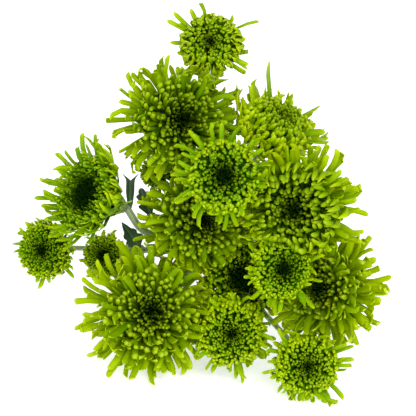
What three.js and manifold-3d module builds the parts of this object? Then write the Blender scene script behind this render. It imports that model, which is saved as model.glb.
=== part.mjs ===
// Pompon chrysanthemum: one cut spray of green, quilled blooms on a branching stem, with lobed leaves.
// It lies as a cut flower does, on the cut end of its stem and on its lowest blooms.
// Sizes are in millimetres. The spray is drawn in its own frame, with +Z along the stem towards the blooms
// and +Y away from the side that it lies on, and is laid down as a whole at the end.

import * as THREE from 'three';
import { mergeVertices } from 'three/addons/utils/BufferGeometryUtils.js';
import Module from 'manifold-3d';

const wasm = await Module();
wasm.setup();

// ---------------------------------------------------------------- driving dimensions

const GAP = 0.3; // between a piece and the piece that carries it

// Stem and stalks. leaving, arriving: how far a stalk runs on along its carrier, and straight under its
// bloom, as shares of the distance between its ends.
const MAIN_STEM = [[5, -3, -60], [1, 0, -30], [0, 1, 0], [4, 5, 25], [12, 18, 48]];
const STEM = { cutRadius: 3.4, crownRadius: 2.4, sides: 8, rows: 5 };
const STALK = { rootRadius: 1.9, neckRadius: 1.35, sides: 6, leaving: 0.25, arriving: 0.2 };
const FRAME_STEPS = 60; // steps of a curve at which its cross-section is turned

// The cup of bracts under a bloom, as shares of the bloom's reach; shoulder is a share of its radius.
const CUP = { radius: 0.11, depth: 0.17, shoulder: 0.7 };

// The four ages of bloom. Leans are measured from the bloom's axis, in degrees. Lengths are measured from
// its seat, as shares of its reach, which is about how far its longest quills come.
//   quills: how many it grows, the first of them outermost; long: how many of those have the full reach
//   spread: the lean of the outermost; centre, edge: where the tips of the others are, inside and outside
//   hollow: how much nearer the tips around the axis are; longDraw: how much the long quills differ
//   longStep, step: which of the long quills and of the others are whole
//   rim: the lean at which the studded core ends and whole quills start
//   fill, hip: how far the core comes, as a share of the tips, and how full it is below its rim
//   studs, rows: how many studs go round the core and up it; halfWidth: a quill's, in millimetres
//   girth: the room that it takes among its neighbours, as a share of its reach
const OPEN = {
  quills: 210, long: 70, spread: 98, centre: 0.50, edge: 0.84, hollow: 0.32, longDraw: 0.22,
  longStep: 2, step: 9, rim: 72, fill: 0.82, hip: 0.62, studs: 16, rows: 6, halfWidth: 1.9, girth: 1,
};
const HALF = {
  quills: 230, long: 8, spread: 84, centre: 0.52, edge: 0.59, hollow: 0.30, longDraw: 0.40,
  longStep: 1, step: 7, rim: 74, fill: 0.92, hip: 0.62, studs: 18, rows: 7, halfWidth: 1.2, girth: 0.8,
};
const CUPPED = {
  quills: 220, long: 50, spread: 58, centre: 0.52, edge: 0.74, hollow: 0.26, longDraw: 0.26,
  longStep: 2, step: 7, rim: 52, fill: 0.92, hip: 0.42, studs: 16, rows: 6, halfWidth: 1.2, girth: 0.7,
};
const YOUNG = {
  quills: 180, long: 14, spread: 72, centre: 0.60, edge: 0.74, hollow: 0.24, longDraw: 0.34,
  longStep: 2, step: 9, rim: 64, fill: 0.92, hip: 0.62, studs: 14, rows: 5, halfWidth: 0.95, girth: 0.9,
};

// Each bloom: its seat, how far and which way its axis leans, in degrees, its reach, and where its stalk
// leaves the stem or another bloom's stalk, as a share of that one's length. via: places on the stalk.
// arriving: as in STALK; stout: how many times as thick as the others its stalk is.
const BLOOMS = [
  { name: 'bloom_crown', age: HALF, seat: [7.5, 40, 92], lean: 4, towards: 60, reach: 33, girth: 1.1,
    from: 'stem', at: 0.97 },
  { name: 'bloom_top', age: HALF, seat: [1.7, 108.3, 56], lean: 12, towards: 100, reach: 28,
    from: 'stem', at: 0.50 },
  { name: 'bloom_upper_left', age: OPEN, seat: [-17, 68.5, 64], lean: 14, towards: 20, reach: 43,
    from: 'stem', at: 0.62 },
  { name: 'bloom_upper_right', age: { ...HALF, long: 20, centre: 0.60, edge: 0.66, hollow: 0.12 },
    seat: [30.7, 59.3, 66], lean: 50, towards: 58, reach: 36, from: 'stem', at: 0.72 },
  { name: 'bloom_right', age: OPEN, seat: [47.5, 25.5, 78], lean: 14, towards: 205, reach: 42,
    from: 'stem', at: 0.66 },
  { name: 'bloom_left', age: CUPPED, seat: [-48.5, 26.5, 58], lean: 46, towards: 160, reach: 43,
    from: 'stem', at: 0.52, via: [[-35, 13.5, 50]], arriving: 0.1, stout: 1.4 },
  { name: 'bloom_hidden_left', age: YOUNG, seat: [-26, 43, 40], lean: 8, towards: 120, reach: 14,
    from: 'bloom_upper_left', at: 0.45 },
  { name: 'bloom_middle', age: OPEN, seat: [-4.5, 17.5, 54], lean: 8, towards: 10, reach: 42, girth: 1.05,
    from: 'stem', at: 0.60 },
  { name: 'bloom_far_left', age: YOUNG, seat: [-82, 2.5, 42], lean: 24, towards: 184, reach: 22.5, girth: 1.2,
    from: 'stem', at: 0.46 },
  { name: 'bloom_low_left', age: YOUNG, seat: [-53.5, -0.5, 40], lean: 8, towards: 180, reach: 17,
    from: 'bloom_far_left', at: 0.45 },
  { name: 'bloom_lower_left', age: OPEN, seat: [-30.5, -31, 57], lean: 9, towards: 60, reach: 45,
    from: 'stem', at: 0.56 },
  { name: 'bloom_inner_right', age: HALF, seat: [37, -7, 82], lean: 8, towards: 10, reach: 26, girth: 1,
    from: 'bloom_right', at: 0.40 },
  { name: 'bloom_lower_right', age: OPEN, seat: [63, -17, 62], lean: 20, towards: 180, reach: 41,
    from: 'stem', at: 0.54 },
  { name: 'bloom_deep', age: YOUNG, seat: [17, -11, 48], lean: 4, towards: 300, reach: 32,
    from: 'stem', at: 0.58 },
  { name: 'bloom_lower', age: { ...HALF, long: 16 }, seat: [12, -39.5, 64], lean: 6, towards: 270, reach: 29,
    from: 'stem', at: 0.53 },
  { name: 'bloom_bottom_right', age: { ...HALF, long: 18 }, seat: [50.5, -55.5, 74],
    lean: 8, towards: 290, reach: 27, from: 'stem', at: 0.44 },
];

// A quill. Draws are the full width of a random spread: of its lean and turn, in radians, of its length
// and of its sideways sway. Its path is a Bezier curve: bow is how much less it leans at its first handle,
// and hook how far its tip turns up and inwards. hollowFrom, hollowTo: the leans, in radians, between which
// the hollow around a bloom's axis runs out.
// rows, widths: where a whole quill has cross-sections, and their half widths as shares of the bloom's.
const QUILL = {
  sides: 3, rows: [0, 0.88, 1], widths: [0.6, 1, 0], root: 0.10, rise: 0.06,
  leanDraw: 0.24, turnDraw: 0.3, longShare: 0.84, tipDraw: 0.14, swayDraw: 0.36,
  bow: 0.9, handles: [0.45, 0.95], handleSway: 0.7, hookUp: 0.10, hookIn: 0.06, swell: 1.5,
  hollowFrom: 0.1, hollowTo: 1.2,
};
const GOLDEN_ANGLE = Math.PI * (3 - Math.sqrt(5)); // turn from one quill of a bloom to the next

// The core of a bloom, as shares of its reach. eye: how deep its middle is dimpled, as a share of its height.
const CORE = { waist: 0.15, waistRise: 0.02, hipRise: 0.3, stud: 0.11, relief: 0.6, eye: 0.72 };

// Neighbouring blooms press each other flat along a wall between them.
const PRESS = {
  passes: 3, // times that a place is pressed by all the walls
  near: 1.1, // blooms press each other when their middles are nearer than this share of both reaches
  middle: 0.4, // where a bloom's middle lies above its seat, as a share of its reach
  flatness: 2, // blooms are wider than they are deep, so the walls between them lie flatter
};

// Each leaf: the stalk that it grows from and the share of its length where, its tip, and its full width.
// stalkShare, stalkWidth: how much of it is its own stalk, and how wide; fold, arch, sweep: how steeply
// its halves rise, how high it arches along its length, and how far its lobes point forward.
const LEAF = {
  thickness: 0.8, rows: 10, lobes: 3, notch: 0.34, fullness: 0.8, stalkShare: 0.15, stalkWidth: 1.4,
  fold: 0.25, arch: 0.12, sweep: 0.4,
};
const LEAVES = [
  { name: 'leaf_left_upper', stalk: 'bloom_left', at: 0.88, tip: [-41, 39, 37], width: 9 },
  { name: 'leaf_left_inner', stalk: 'bloom_left', at: 0.60, tip: [-36, 35, 30], width: 9 },
  { name: 'leaf_left_lower', stalk: 'bloom_far_left', at: 0.46, tip: [-46, 17, 30], width: 11 },
  { name: 'leaf_top', stalk: 'bloom_top', at: 0.33, tip: [-14, 60, 8], width: 16 },
  { name: 'leaf_right', stalk: 'bloom_right', at: 0.30, tip: [50, 20, 18], width: 17 },
  { name: 'leaf_lower', stalk: 'bloom_lower', at: 0.30, tip: [-7, -38, 22], width: 15 },
  { name: 'leaf_stem', stalk: 'stem', at: 0.38, tip: [-22, -16, 2], width: 16 },
];

const LAID = { tilt: 63.67, roll: 3.56 }; // degrees about X and about the stem, at which it comes to rest

const COLOURS = {
  petal: { color: 0x86b514, roughness: 0.55, metalness: 0 },
  stem: { color: 0x8d9f76, roughness: 0.75, metalness: 0 },
  leaf: { color: 0x2f5a33, roughness: 0.65, metalness: 0 },
};

// ---------------------------------------------------------------- tools

const radians = THREE.MathUtils.degToRad;

// A fixed draw between 0 and 1 for each seed.
function chance(seed) {
  const s = Math.sin(seed * 12.9898 + 4.1414) * 43758.5453;
  return s - Math.floor(s);
}

// The unit vector that leans by `lean` degrees from +Z towards the direction `towards` in the XY plane.
function leaning(lean, towards) {
  const flat = Math.sin(radians(lean));
  return new THREE.Vector3(
    flat * Math.cos(radians(towards)),
    flat * Math.sin(radians(towards)),
    Math.cos(radians(lean)),
  );
}

// A closed three.js geometry as a solid for joining.
function solidOf(geometry) {
  const bare = geometry.clone();
  bare.deleteAttribute('normal');
  bare.deleteAttribute('uv');
  const merged = mergeVertices(bare, 1e-4);
  return new wasm.Manifold(new wasm.Mesh({
    numProp: 3,
    vertProperties: new Float32Array(merged.attributes.position.array),
    triVerts: new Uint32Array(merged.index.array),
  }));
}

// The largest closed body of a solid, so that sealed hollows are filled and loose scraps dropped.
function mainBody(solid) {
  const bodies = solid.decompose();
  bodies.sort((a, b) => b.volume() - a.volume());
  return bodies[0];
}

function geometryOf(solid) {
  const made = mainBody(solid).getMesh();
  const geometry = new THREE.BufferGeometry();
  geometry.setAttribute('position', new THREE.BufferAttribute(new Float32Array(made.vertProperties), 3));
  geometry.setIndex(new THREE.BufferAttribute(new Uint32Array(made.triVerts), 1));
  geometry.computeVertexNormals();
  return geometry;
}

// Moves every corner of a geometry to where `place` puts it.
function reshape(geometry, place) {
  const corners = geometry.attributes.position;
  const corner = new THREE.Vector3();
  for (let i = 0; i < corners.count; i++) {
    place(corner.fromBufferAttribute(corners, i), i);
    corners.setXYZ(i, corner.x, corner.y, corner.z);
  }
  return geometry;
}

// Folds the four-sided facet whose two triangles start at `i` along its diagonal from a to c.
function refold(index, i, [a, b, c, d]) {
  index.set([a, b, c, a, c, d], i);
}

function piece(name, geometry, finish) {
  const mesh = new THREE.Mesh(geometry, new THREE.MeshStandardMaterial(finish));
  mesh.name = name;
  return mesh;
}

// ---------------------------------------------------------------- stem and stalks

// A closed tube along a curve, with its radius given at shares of the curve's length.
function tube(curve, rows, sides) {
  const last = rows.length - 1;
  const frames = curve.computeFrenetFrames(FRAME_STEPS);
  return reshape(new THREE.CylinderGeometry(1, 1, 1, sides, last), (corner) => {
    const { share, radius } = rows[Math.round((corner.y + 0.5) * last)];
    const step = Math.round(share * FRAME_STEPS);
    const { x, z } = corner;
    corner.copy(curve.getPointAt(share))
      .addScaledVector(frames.binormals[step], x * radius)
      .addScaledVector(frames.normals[step], z * radius);
  });
}

// The curve of a stalk: it leaves its carrier along it and arrives at the bloom along the bloom's axis.
function stalkCurve(bloom, carrier) {
  const root = carrier.getPointAt(bloom.at);
  const seat = new THREE.Vector3(...bloom.seat);
  const distance = seat.distanceTo(root);
  const away = seat.clone().sub(root).normalize();
  const leaving = carrier.getTangentAt(bloom.at).add(away).normalize();
  return new THREE.CatmullRomCurve3([
    root,
    root.clone().addScaledVector(leaving, distance * STALK.leaving),
    ...(bloom.via ?? []).map((at) => new THREE.Vector3(...at)),
    seat.clone().addScaledVector(bloom.axis, -distance * (bloom.arriving ?? STALK.arriving)),
    seat.clone().addScaledVector(bloom.axis, -GAP),
  ]);
}

// The share of a stalk's length at which its cup begins.
function neckOf(bloom) {
  return 1 - CUP.depth * bloom.reach / curves[bloom.name].getLength();
}

// The radius of a stalk below its cup: it slims over the middle third.
function stalkRadius(bloom, share) {
  const slimming = THREE.MathUtils.clamp(3 * share / neckOf(bloom) - 1, 0, 1);
  return THREE.MathUtils.lerp(STALK.rootRadius, STALK.neckRadius, slimming) * (bloom.stout ?? 1);
}

// A stalk that swells at its end into the cup of bracts, flat on top, that the bloom sits on.
function stalk(bloom, extra) {
  const cup = CUP.radius * bloom.reach;
  const neck = neckOf(bloom);
  const shares = [0, neck / 3, neck * 2 / 3, neck];
  const rows = shares.map((share) => ({ share, radius: stalkRadius(bloom, share) + extra }));
  rows.push({ share: (1 + 2 * neck) / 3, radius: cup * CUP.shoulder + extra });
  rows.push({ share: 1, radius: cup + extra });
  return solidOf(tube(curves[bloom.name], rows, STALK.sides));
}

function mainStem(extra) {
  const rows = [];
  for (let row = 0; row <= STEM.rows; row++) {
    const share = row / STEM.rows;
    rows.push({ share, radius: THREE.MathUtils.lerp(STEM.cutRadius, STEM.crownRadius, share) + extra });
  }
  return solidOf(tube(curves.stem, rows, STEM.sides));
}

// The stem with every stalk grown onto it, thicker all round by `extra`.
function stemSolid(extra) {
  return wasm.Manifold.union([mainStem(extra), ...BLOOMS.map((bloom) => stalk(bloom, extra))]);
}

// ---------------------------------------------------------------- neighbouring blooms

// How much room a bloom takes among its neighbours.
function girthOf(bloom) {
  return bloom.reach * (bloom.girth ?? bloom.age.girth);
}

// The walls that part a bloom from its neighbours, in its own frame, facing away from it.
function wallsOf(bloom) {
  const toBloom = bloom.place.clone().invert();
  const presses = (other) => other !== bloom
    && other.middle.distanceTo(bloom.middle) < PRESS.near * (bloom.reach + other.reach);
  return BLOOMS.filter(presses).map((other) => {
    const between = other.middle.clone().sub(bloom.middle);
    const share = girthOf(bloom) / (girthOf(bloom) + girthOf(other));
    const normal = new THREE.Vector3(between.x, between.y, between.z * PRESS.flatness).normalize();
    const on = bloom.middle.clone().addScaledVector(between, share);
    return new THREE.Plane().setFromNormalAndCoplanarPoint(normal, on).applyMatrix4(toBloom);
  });
}

// Moves each place that comes nearer than `clearance` to a wall of the bloom back from it.
function press(bloom, places, clearance) {
  for (let pass = 0; pass < PRESS.passes; pass++) {
    for (const place of places) {
      for (const wall of bloom.walls) {
        const over = wall.distanceToPoint(place) + clearance;
        if (over > 0) place.addScaledVector(wall.normal, -over);
      }
    }
  }
  return places;
}

// ---------------------------------------------------------------- blooms

// How far the tip of a quill lies from the seat, as a share of the reach, by how far it leans.
function tipShare(age, lean) {
  const edging = (Math.abs(lean) / radians(age.spread)) ** QUILL.swell;
  const share = THREE.MathUtils.lerp(age.centre, age.edge, edging);
  const out = THREE.MathUtils.smoothstep(Math.abs(lean), QUILL.hollowFrom, QUILL.hollowTo);
  return share * (1 - age.hollow * (1 - out));
}

// The outline of a core from its seat to its dimpled top, as shares of the reach. Its first three places
// are the seat, the waist and the hip, and the others carry studs.
function coreProfile(age) {
  const rim = radians(age.rim);
  const across = Math.sin(rim) * tipShare(age, rim) * age.fill;
  const hip = new THREE.Vector2(
    THREE.MathUtils.lerp(CORE.waist, across, age.hip),
    Math.cos(rim) * across * CORE.hipRise + CORE.waistRise,
  );
  const profile = [new THREE.Vector2(0, 0), new THREE.Vector2(CORE.waist, 0), hip];
  for (let row = age.rows; row > 0; row--) {
    const lean = rim * row / age.rows;
    const length = tipShare(age, lean) * age.fill;
    profile.push(new THREE.Vector2(Math.sin(lean) * length, Math.cos(lean) * length + QUILL.rise));
  }
  profile.push(new THREE.Vector2(0, (tipShare(age, 0) * age.fill + QUILL.rise) * CORE.eye));
  return profile;
}

// The packed middle of a bloom: its young quills seen as one body, studded with their tips.
function core(bloom) {
  const { age, reach } = bloom;
  const profile = coreProfile(age);
  const hip = 2;
  const top = profile.length - 1;
  const isStud = (i) => {
    const row = i % profile.length;
    return row >= hip && row < top && (row + Math.floor(i / profile.length)) % 2 === 0;
  };
  const relief = CORE.stud * reach;
  const body = new THREE.LatheGeometry(profile, age.studs).rotateX(Math.PI / 2).scale(reach, reach, reach);
  reshape(body, (corner, i) => {
    const raised = isStud(i) ? relief : 0;
    corner.setLength(corner.length() + raised);
    press(bloom, [corner], GAP + (relief - raised) * CORE.relief);
  });
  foldAcross(body.index.array, isStud);
  return solidOf(body);
}

// Folds each facet that joins two studs along the diagonal between its two low corners, so that every
// stud stands up by itself.
function foldAcross(index, isStud) {
  for (let i = 0; i < index.length; i += 6) {
    const [a, b, d, c] = index.slice(i, i + 4);
    if (isStud(b) || isStud(d)) refold(index, i, [a, b, c, d]);
  }
}

// The path of one quill in its bloom's frame, from its root in the core to its tip.
function quillPath(bloom, number) {
  const { age, reach } = bloom;
  const draw = (n, width) => (chance(bloom.seed * 1000 + number * 7 + n) - 0.5) * width;
  const lean = radians(age.spread) * Math.sqrt(1 - (number + 0.5) / age.quills) + draw(1, QUILL.leanDraw);
  const turn = number * GOLDEN_ANGLE + draw(2, QUILL.turnDraw);
  const share = number < age.long
    ? QUILL.longShare + draw(3, age.longDraw)
    : tipShare(age, lean) * (1 + draw(4, QUILL.tipDraw));
  const length = reach * share;
  const sway = length * draw(5, QUILL.swayDraw);
  const outward = new THREE.Vector3(Math.cos(turn), Math.sin(turn), 0);
  const across = new THREE.Vector3(-Math.sin(turn), Math.cos(turn), 0);
  const at = (angle, far, side) => new THREE.Vector3(0, 0, Math.cos(angle) * far + QUILL.rise * reach)
    .addScaledVector(outward, Math.sin(angle) * far)
    .addScaledVector(across, side);
  const tip = at(lean, length, sway).addScaledVector(outward, -QUILL.hookIn * length);
  tip.z += QUILL.hookUp * length;
  const curve = new THREE.CubicBezierCurve3(
    at(lean, QUILL.root * reach, 0),
    at(lean * QUILL.bow, length * QUILL.handles[0], 0),
    at(lean, length * QUILL.handles[1], sway * QUILL.handleSway),
    tip,
  );
  return { curve, across };
}

// One whole quill: a three-sided club that widens towards a pointed tip.
function quill(bloom, number) {
  const { curve, across } = quillPath(bloom, number);
  const { halfWidth } = bloom.age;
  const places = press(bloom, QUILL.rows.map((share) => curve.getPoint(share)), halfWidth + GAP);
  const last = places.length - 1;
  const tangent = new THREE.Vector3();
  const lift = new THREE.Vector3();
  const side = new THREE.Vector3();
  return solidOf(reshape(new THREE.ConeGeometry(1, 1, QUILL.sides, last), (corner) => {
    const row = Math.round((corner.y + 0.5) * last);
    const coneWidth = Math.max(1 - row / last, Number.EPSILON);
    const width = halfWidth * QUILL.widths[row] / coneWidth;
    const { x, z } = corner;
    tangent.subVectors(places[Math.min(row + 1, last)], places[Math.max(row - 1, 0)]).normalize();
    lift.crossVectors(across, tangent).normalize();
    side.crossVectors(tangent, lift);
    corner.copy(places[row]).addScaledVector(side, x * width).addScaledVector(lift, z * width);
  }));
}

// The numbers of a bloom's whole quills: some of the long ones, and some of those that lean past the rim.
function wholeQuills(age) {
  const pastRim = age.quills * (1 - (age.rim / age.spread) ** 2);
  const end = Math.max(pastRim, age.long);
  const numbers = [];
  for (let number = 0; number < end; number += number < age.long ? age.longStep : age.step) {
    numbers.push(number);
  }
  return numbers;
}

// A bloom is its core, kept clear of the stalks that pass it, and those whole quills that touch no stalk.
function bloomSolid(bloom, stalks) {
  const quills = wholeQuills(bloom.age).map((number) => quill(bloom, number));
  const clear = quills.filter((one) => one.intersect(stalks).isEmpty());
  return wasm.Manifold.union([core(bloom).subtract(stalks), ...clear]);
}

// ---------------------------------------------------------------- leaves

// Half the width of a leaf, as a share of its greatest, at a share of its length: pairs of lobes.
function lobed(share) {
  const outline = Math.sqrt(Math.sin(Math.PI * share ** LEAF.fullness));
  return outline * (1 - LEAF.notch * (1 + Math.cos(2 * Math.PI * LEAF.lobes * share)));
}

// A thin block whose back is folded into the same triangles as its front.
function bladeBlock() {
  const block = new THREE.BoxGeometry(1, 1, 1, 2, LEAF.rows, 1);
  const back = block.groups.at(-1);
  for (let i = back.start; i < back.start + back.count; i += 6) {
    const [a, b, d, , c] = block.index.array.slice(i, i + 5);
    refold(block.index.array, i, [a, b, c, d]);
  }
  return block;
}

function leafGeometry(length, width) {
  return reshape(bladeBlock(), (corner) => {
    const share = corner.y + 0.5;
    const side = Math.abs(corner.x) * 2;
    const grown = Math.max(0, (share - LEAF.stalkShare) / (1 - LEAF.stalkShare));
    const half = Math.max(LEAF.stalkWidth, lobed(grown) * width) / 2;
    corner.set(
      corner.x * 2 * half,
      share * length + side * half * LEAF.sweep,
      corner.z * LEAF.thickness + side * half * LEAF.fold + Math.sin(Math.PI * share) * length * LEAF.arch,
    );
  });
}

// A leaf grows from the side of its stalk that faces its tip, and lies open towards the blooms.
function leaf({ name, stalk: carrier, at, tip, width }) {
  const curve = curves[carrier];
  const node = curve.getPointAt(at);
  const grain = curve.getTangentAt(at);
  const away = new THREE.Vector3(...tip).sub(node);
  away.addScaledVector(grain, -away.dot(grain)).normalize();
  const bloom = BLOOMS.find((one) => one.name === carrier);
  const bark = bloom ? stalkRadius(bloom, at) : STEM.cutRadius;
  const root = node.addScaledVector(away, bark + LEAF.thickness / 2 + GAP);
  const along = new THREE.Vector3(...tip).sub(root);
  const length = along.length();
  along.normalize();
  const facing = new THREE.Vector3(0, 0, 1).addScaledVector(along, -along.z).normalize();
  const across = new THREE.Vector3().crossVectors(along, facing);
  const mesh = piece(name, leafGeometry(length, width), COLOURS.leaf);
  mesh.quaternion.setFromRotationMatrix(new THREE.Matrix4().makeBasis(across, along, facing));
  mesh.position.copy(root);
  return mesh;
}

// ---------------------------------------------------------------- the whole spray

BLOOMS.forEach((bloom, i) => {
  bloom.seed = i + 1;
  bloom.axis = leaning(bloom.lean, bloom.towards);
  const turned = new THREE.Quaternion().setFromUnitVectors(new THREE.Vector3(0, 0, 1), bloom.axis);
  bloom.place = new THREE.Matrix4().makeRotationFromQuaternion(turned).setPosition(...bloom.seat);
  bloom.middle = new THREE.Vector3(0, 0, PRESS.middle * bloom.reach).applyMatrix4(bloom.place);
});
for (const bloom of BLOOMS) bloom.walls = wallsOf(bloom);

const curves = { stem: new THREE.CatmullRomCurve3(MAIN_STEM.map((at) => new THREE.Vector3(...at))) };
for (const bloom of BLOOMS) curves[bloom.name] = stalkCurve(bloom, curves[bloom.from]);

const spray = new THREE.Group();
spray.add(piece('stem', geometryOf(stemSolid(0)), COLOURS.stem));
for (const spec of LEAVES) spray.add(leaf(spec));
const clearedStem = stemSolid(GAP);
for (const bloom of BLOOMS) {
  const stalks = clearedStem.transform(bloom.place.clone().invert().elements);
  const mesh = piece(bloom.name, geometryOf(bloomSolid(bloom, stalks)), COLOURS.petal);
  mesh.position.set(...bloom.seat);
  mesh.quaternion.setFromRotationMatrix(bloom.place);
  spray.add(mesh);
}
spray.rotation.set(radians(LAID.tilt), 0, radians(LAID.roll), 'XYZ');

// The origin is on the surface that the spray lies on, under the middle of its outline.
const chrysanthemum = new THREE.Group();
chrysanthemum.add(spray);
chrysanthemum.updateMatrixWorld(true);
const outline = new THREE.Box3().setFromObject(chrysanthemum, true);
const middle = outline.getCenter(new THREE.Vector3());
spray.position.set(-middle.x, -middle.y, -outline.min.z);

export default chrysanthemum;
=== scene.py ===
"""Green pompon chrysanthemum spray: sixteen quilled blooms on one branching stem, lying down.

The spray is modelled in millimetres in its own frame, with +Z along the stem towards the blooms and +Y
away from the side that it lies on. Every piece is then laid down, in metres, on the surface at Z = 0.
"""

import math

import bpy
import numpy as np
from bpy.props import FloatProperty, FloatVectorProperty, IntProperty, PointerProperty
from mathutils import Matrix, Vector


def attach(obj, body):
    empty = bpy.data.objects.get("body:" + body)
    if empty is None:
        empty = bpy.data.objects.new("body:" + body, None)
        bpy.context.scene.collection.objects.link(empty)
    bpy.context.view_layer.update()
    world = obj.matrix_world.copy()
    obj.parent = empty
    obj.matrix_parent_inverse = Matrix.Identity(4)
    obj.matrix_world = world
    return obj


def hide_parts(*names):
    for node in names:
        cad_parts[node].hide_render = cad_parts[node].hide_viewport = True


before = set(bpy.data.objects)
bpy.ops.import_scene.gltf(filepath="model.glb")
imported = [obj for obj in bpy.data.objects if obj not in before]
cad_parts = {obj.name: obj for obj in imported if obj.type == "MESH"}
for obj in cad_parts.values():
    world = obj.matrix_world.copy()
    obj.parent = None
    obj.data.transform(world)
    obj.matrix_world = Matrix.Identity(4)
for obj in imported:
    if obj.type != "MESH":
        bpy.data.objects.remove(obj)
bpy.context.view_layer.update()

bl_info = {
    "name": "Chrysanthemum Spray",
    "version": (1, 0, 0),
    "blender": (4, 5, 0),
    "location": "View3D > Sidebar > Chrysanthemum",
    "description": "Grows a spray of quilled chrysanthemum blooms with its stem and leaves",
    "category": "Add Mesh",
}

# ---------------- where the spray lies

MM = 0.001  # metres
LAID_TILT = math.radians(63.67)  # about X, after the roll about the stem
LAID_ROLL = math.radians(3.56)
LAID_TURN = Matrix.Rotation(LAID_TILT, 3, "X") @ Matrix.Rotation(LAID_ROLL, 3, "Z")
LAID_AT = Vector((1.91, 25.21, 31.90)) * MM  # where the spray's own origin lies


def laid(places):
    """Places in the spray's frame, in millimetres, as places in the room, in metres."""
    return np.asarray(places, float) @ np.array(LAID_TURN).T * MM + np.array(LAID_AT)


# ---------------- the plan of the spray

GAP = 0.3  # between a piece and the piece that carries it
GOLDEN_ANGLE = math.pi * (3 - math.sqrt(5))
UP = np.array([0, 0, 1.0])

# The stem passes these places, from its cut end to its crown. Its radii and those of the stalks are in
# millimetres, and a stalk keeps the way that it leaves in for a share of the distance to its bloom.
MAIN_STEM = [(5, -3, -60), (1, 0, -30), (0, 1, 0), (4, 5, 25), (12, 18, 48)]
STEM = {"cut_radius": 3.4, "crown_radius": 2.4}
STALK = {"root_radius": 1.9, "neck_radius": 1.35, "leaving": 0.25}
CUP = {"radius": 0.11, "depth": 0.17}  # shares of the bloom's reach

# What blooms of each age have. A bloom has long quills around the outside, shorter upper ones over them,
# and inner ones that fill its middle. Lengths are shares of its reach, and leans are from its own axis.
AGES = ("open", "half", "cupped", "young")
MEASURES = {
    "quills": (210, 230, 220, 180),  # how many quills the CAD bloom is planned with
    "long": (70, 8, 50, 14),  # how many of them are long
    "spread": (98, 84, 58, 72),  # degrees that the outermost of them lean
    "rim": (70, 74, 52, 64),  # degrees that the edge of the heart leans
    "centre": (0.50, 0.52, 0.52, 0.60),  # length of the inner quills towards the middle
    "edge": (0.84, 0.59, 0.66, 0.74),  # their length where they lean as far as the outermost ones
    "hollow": (0.32, 0.30, 0.26, 0.24),  # how much shorter they are in the very middle
    "girth": (1.0, 0.8, 0.7, 0.9),  # the room that the bloom takes among its neighbours
    "strap": (1.5, 1.15, 1.3, 0.9),  # half width of the long and upper quills, in millimetres
    "long_draw": (0.22, 0.34, 0.26, 0.34),  # how unequal their lengths are
    "upper": (170, 44, 34, 30),  # how many upper quills there are
    "upper_to": (50, 72, 51, 56),  # degrees that the innermost of them leans
    "stagger": (0.5, 0.2, 0.2, 0.5),  # how much shorter than the long ones the shortest of them is
    "inner": (310, 550, 800, 680),  # how many inner quills there are
    "inner_to": (62, 84, 51, 69),  # degrees that the outermost of them leans
    "crowd": (0.82, 0.76, 0.74, 0.64),  # 0.5 covers a flat bloom evenly, and more crowds the middle
    "packing": (0.98, 1.12, 1.06, 1.08),  # how wide they are for the space that each one has
    "ragged": (0.22, 0.22, 0.20, 0.16),  # how unequal their lengths are
    "curl": (0.05, 0.17, 0.10, 0.08),  # how far the outermost of them curl inwards
    "bead_lean": (0.30, 0.30, 0.24, 0.45),  # radians of lean below which they are round beads
    "strap_lean": (0.96, 1.5, 0.84, 1.2),  # radians of lean above which they are flat straps
    # The dark of the heart is the young quills' own dark green together with painted shade of the deep
    # middle.
    "night": (0.22, 0.24, 0.60, 0.32),  # how far out the dark of the heart reaches
    "ripe": (0.5, -0.2, -0.32, -0.12),  # how yellow the quills are
}

# What a bloom has unless it says otherwise: what carries its stalk, the places that the stalk passes, how
# far it keeps to the bloom's axis as it arrives, how stout it is, and the tips of the bloom's single
# long florets, in millimetres from its seat.
BLOOM = dict(carrier="stem", via=[], arriving=0.2, stout=1, singles=[])

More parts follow.
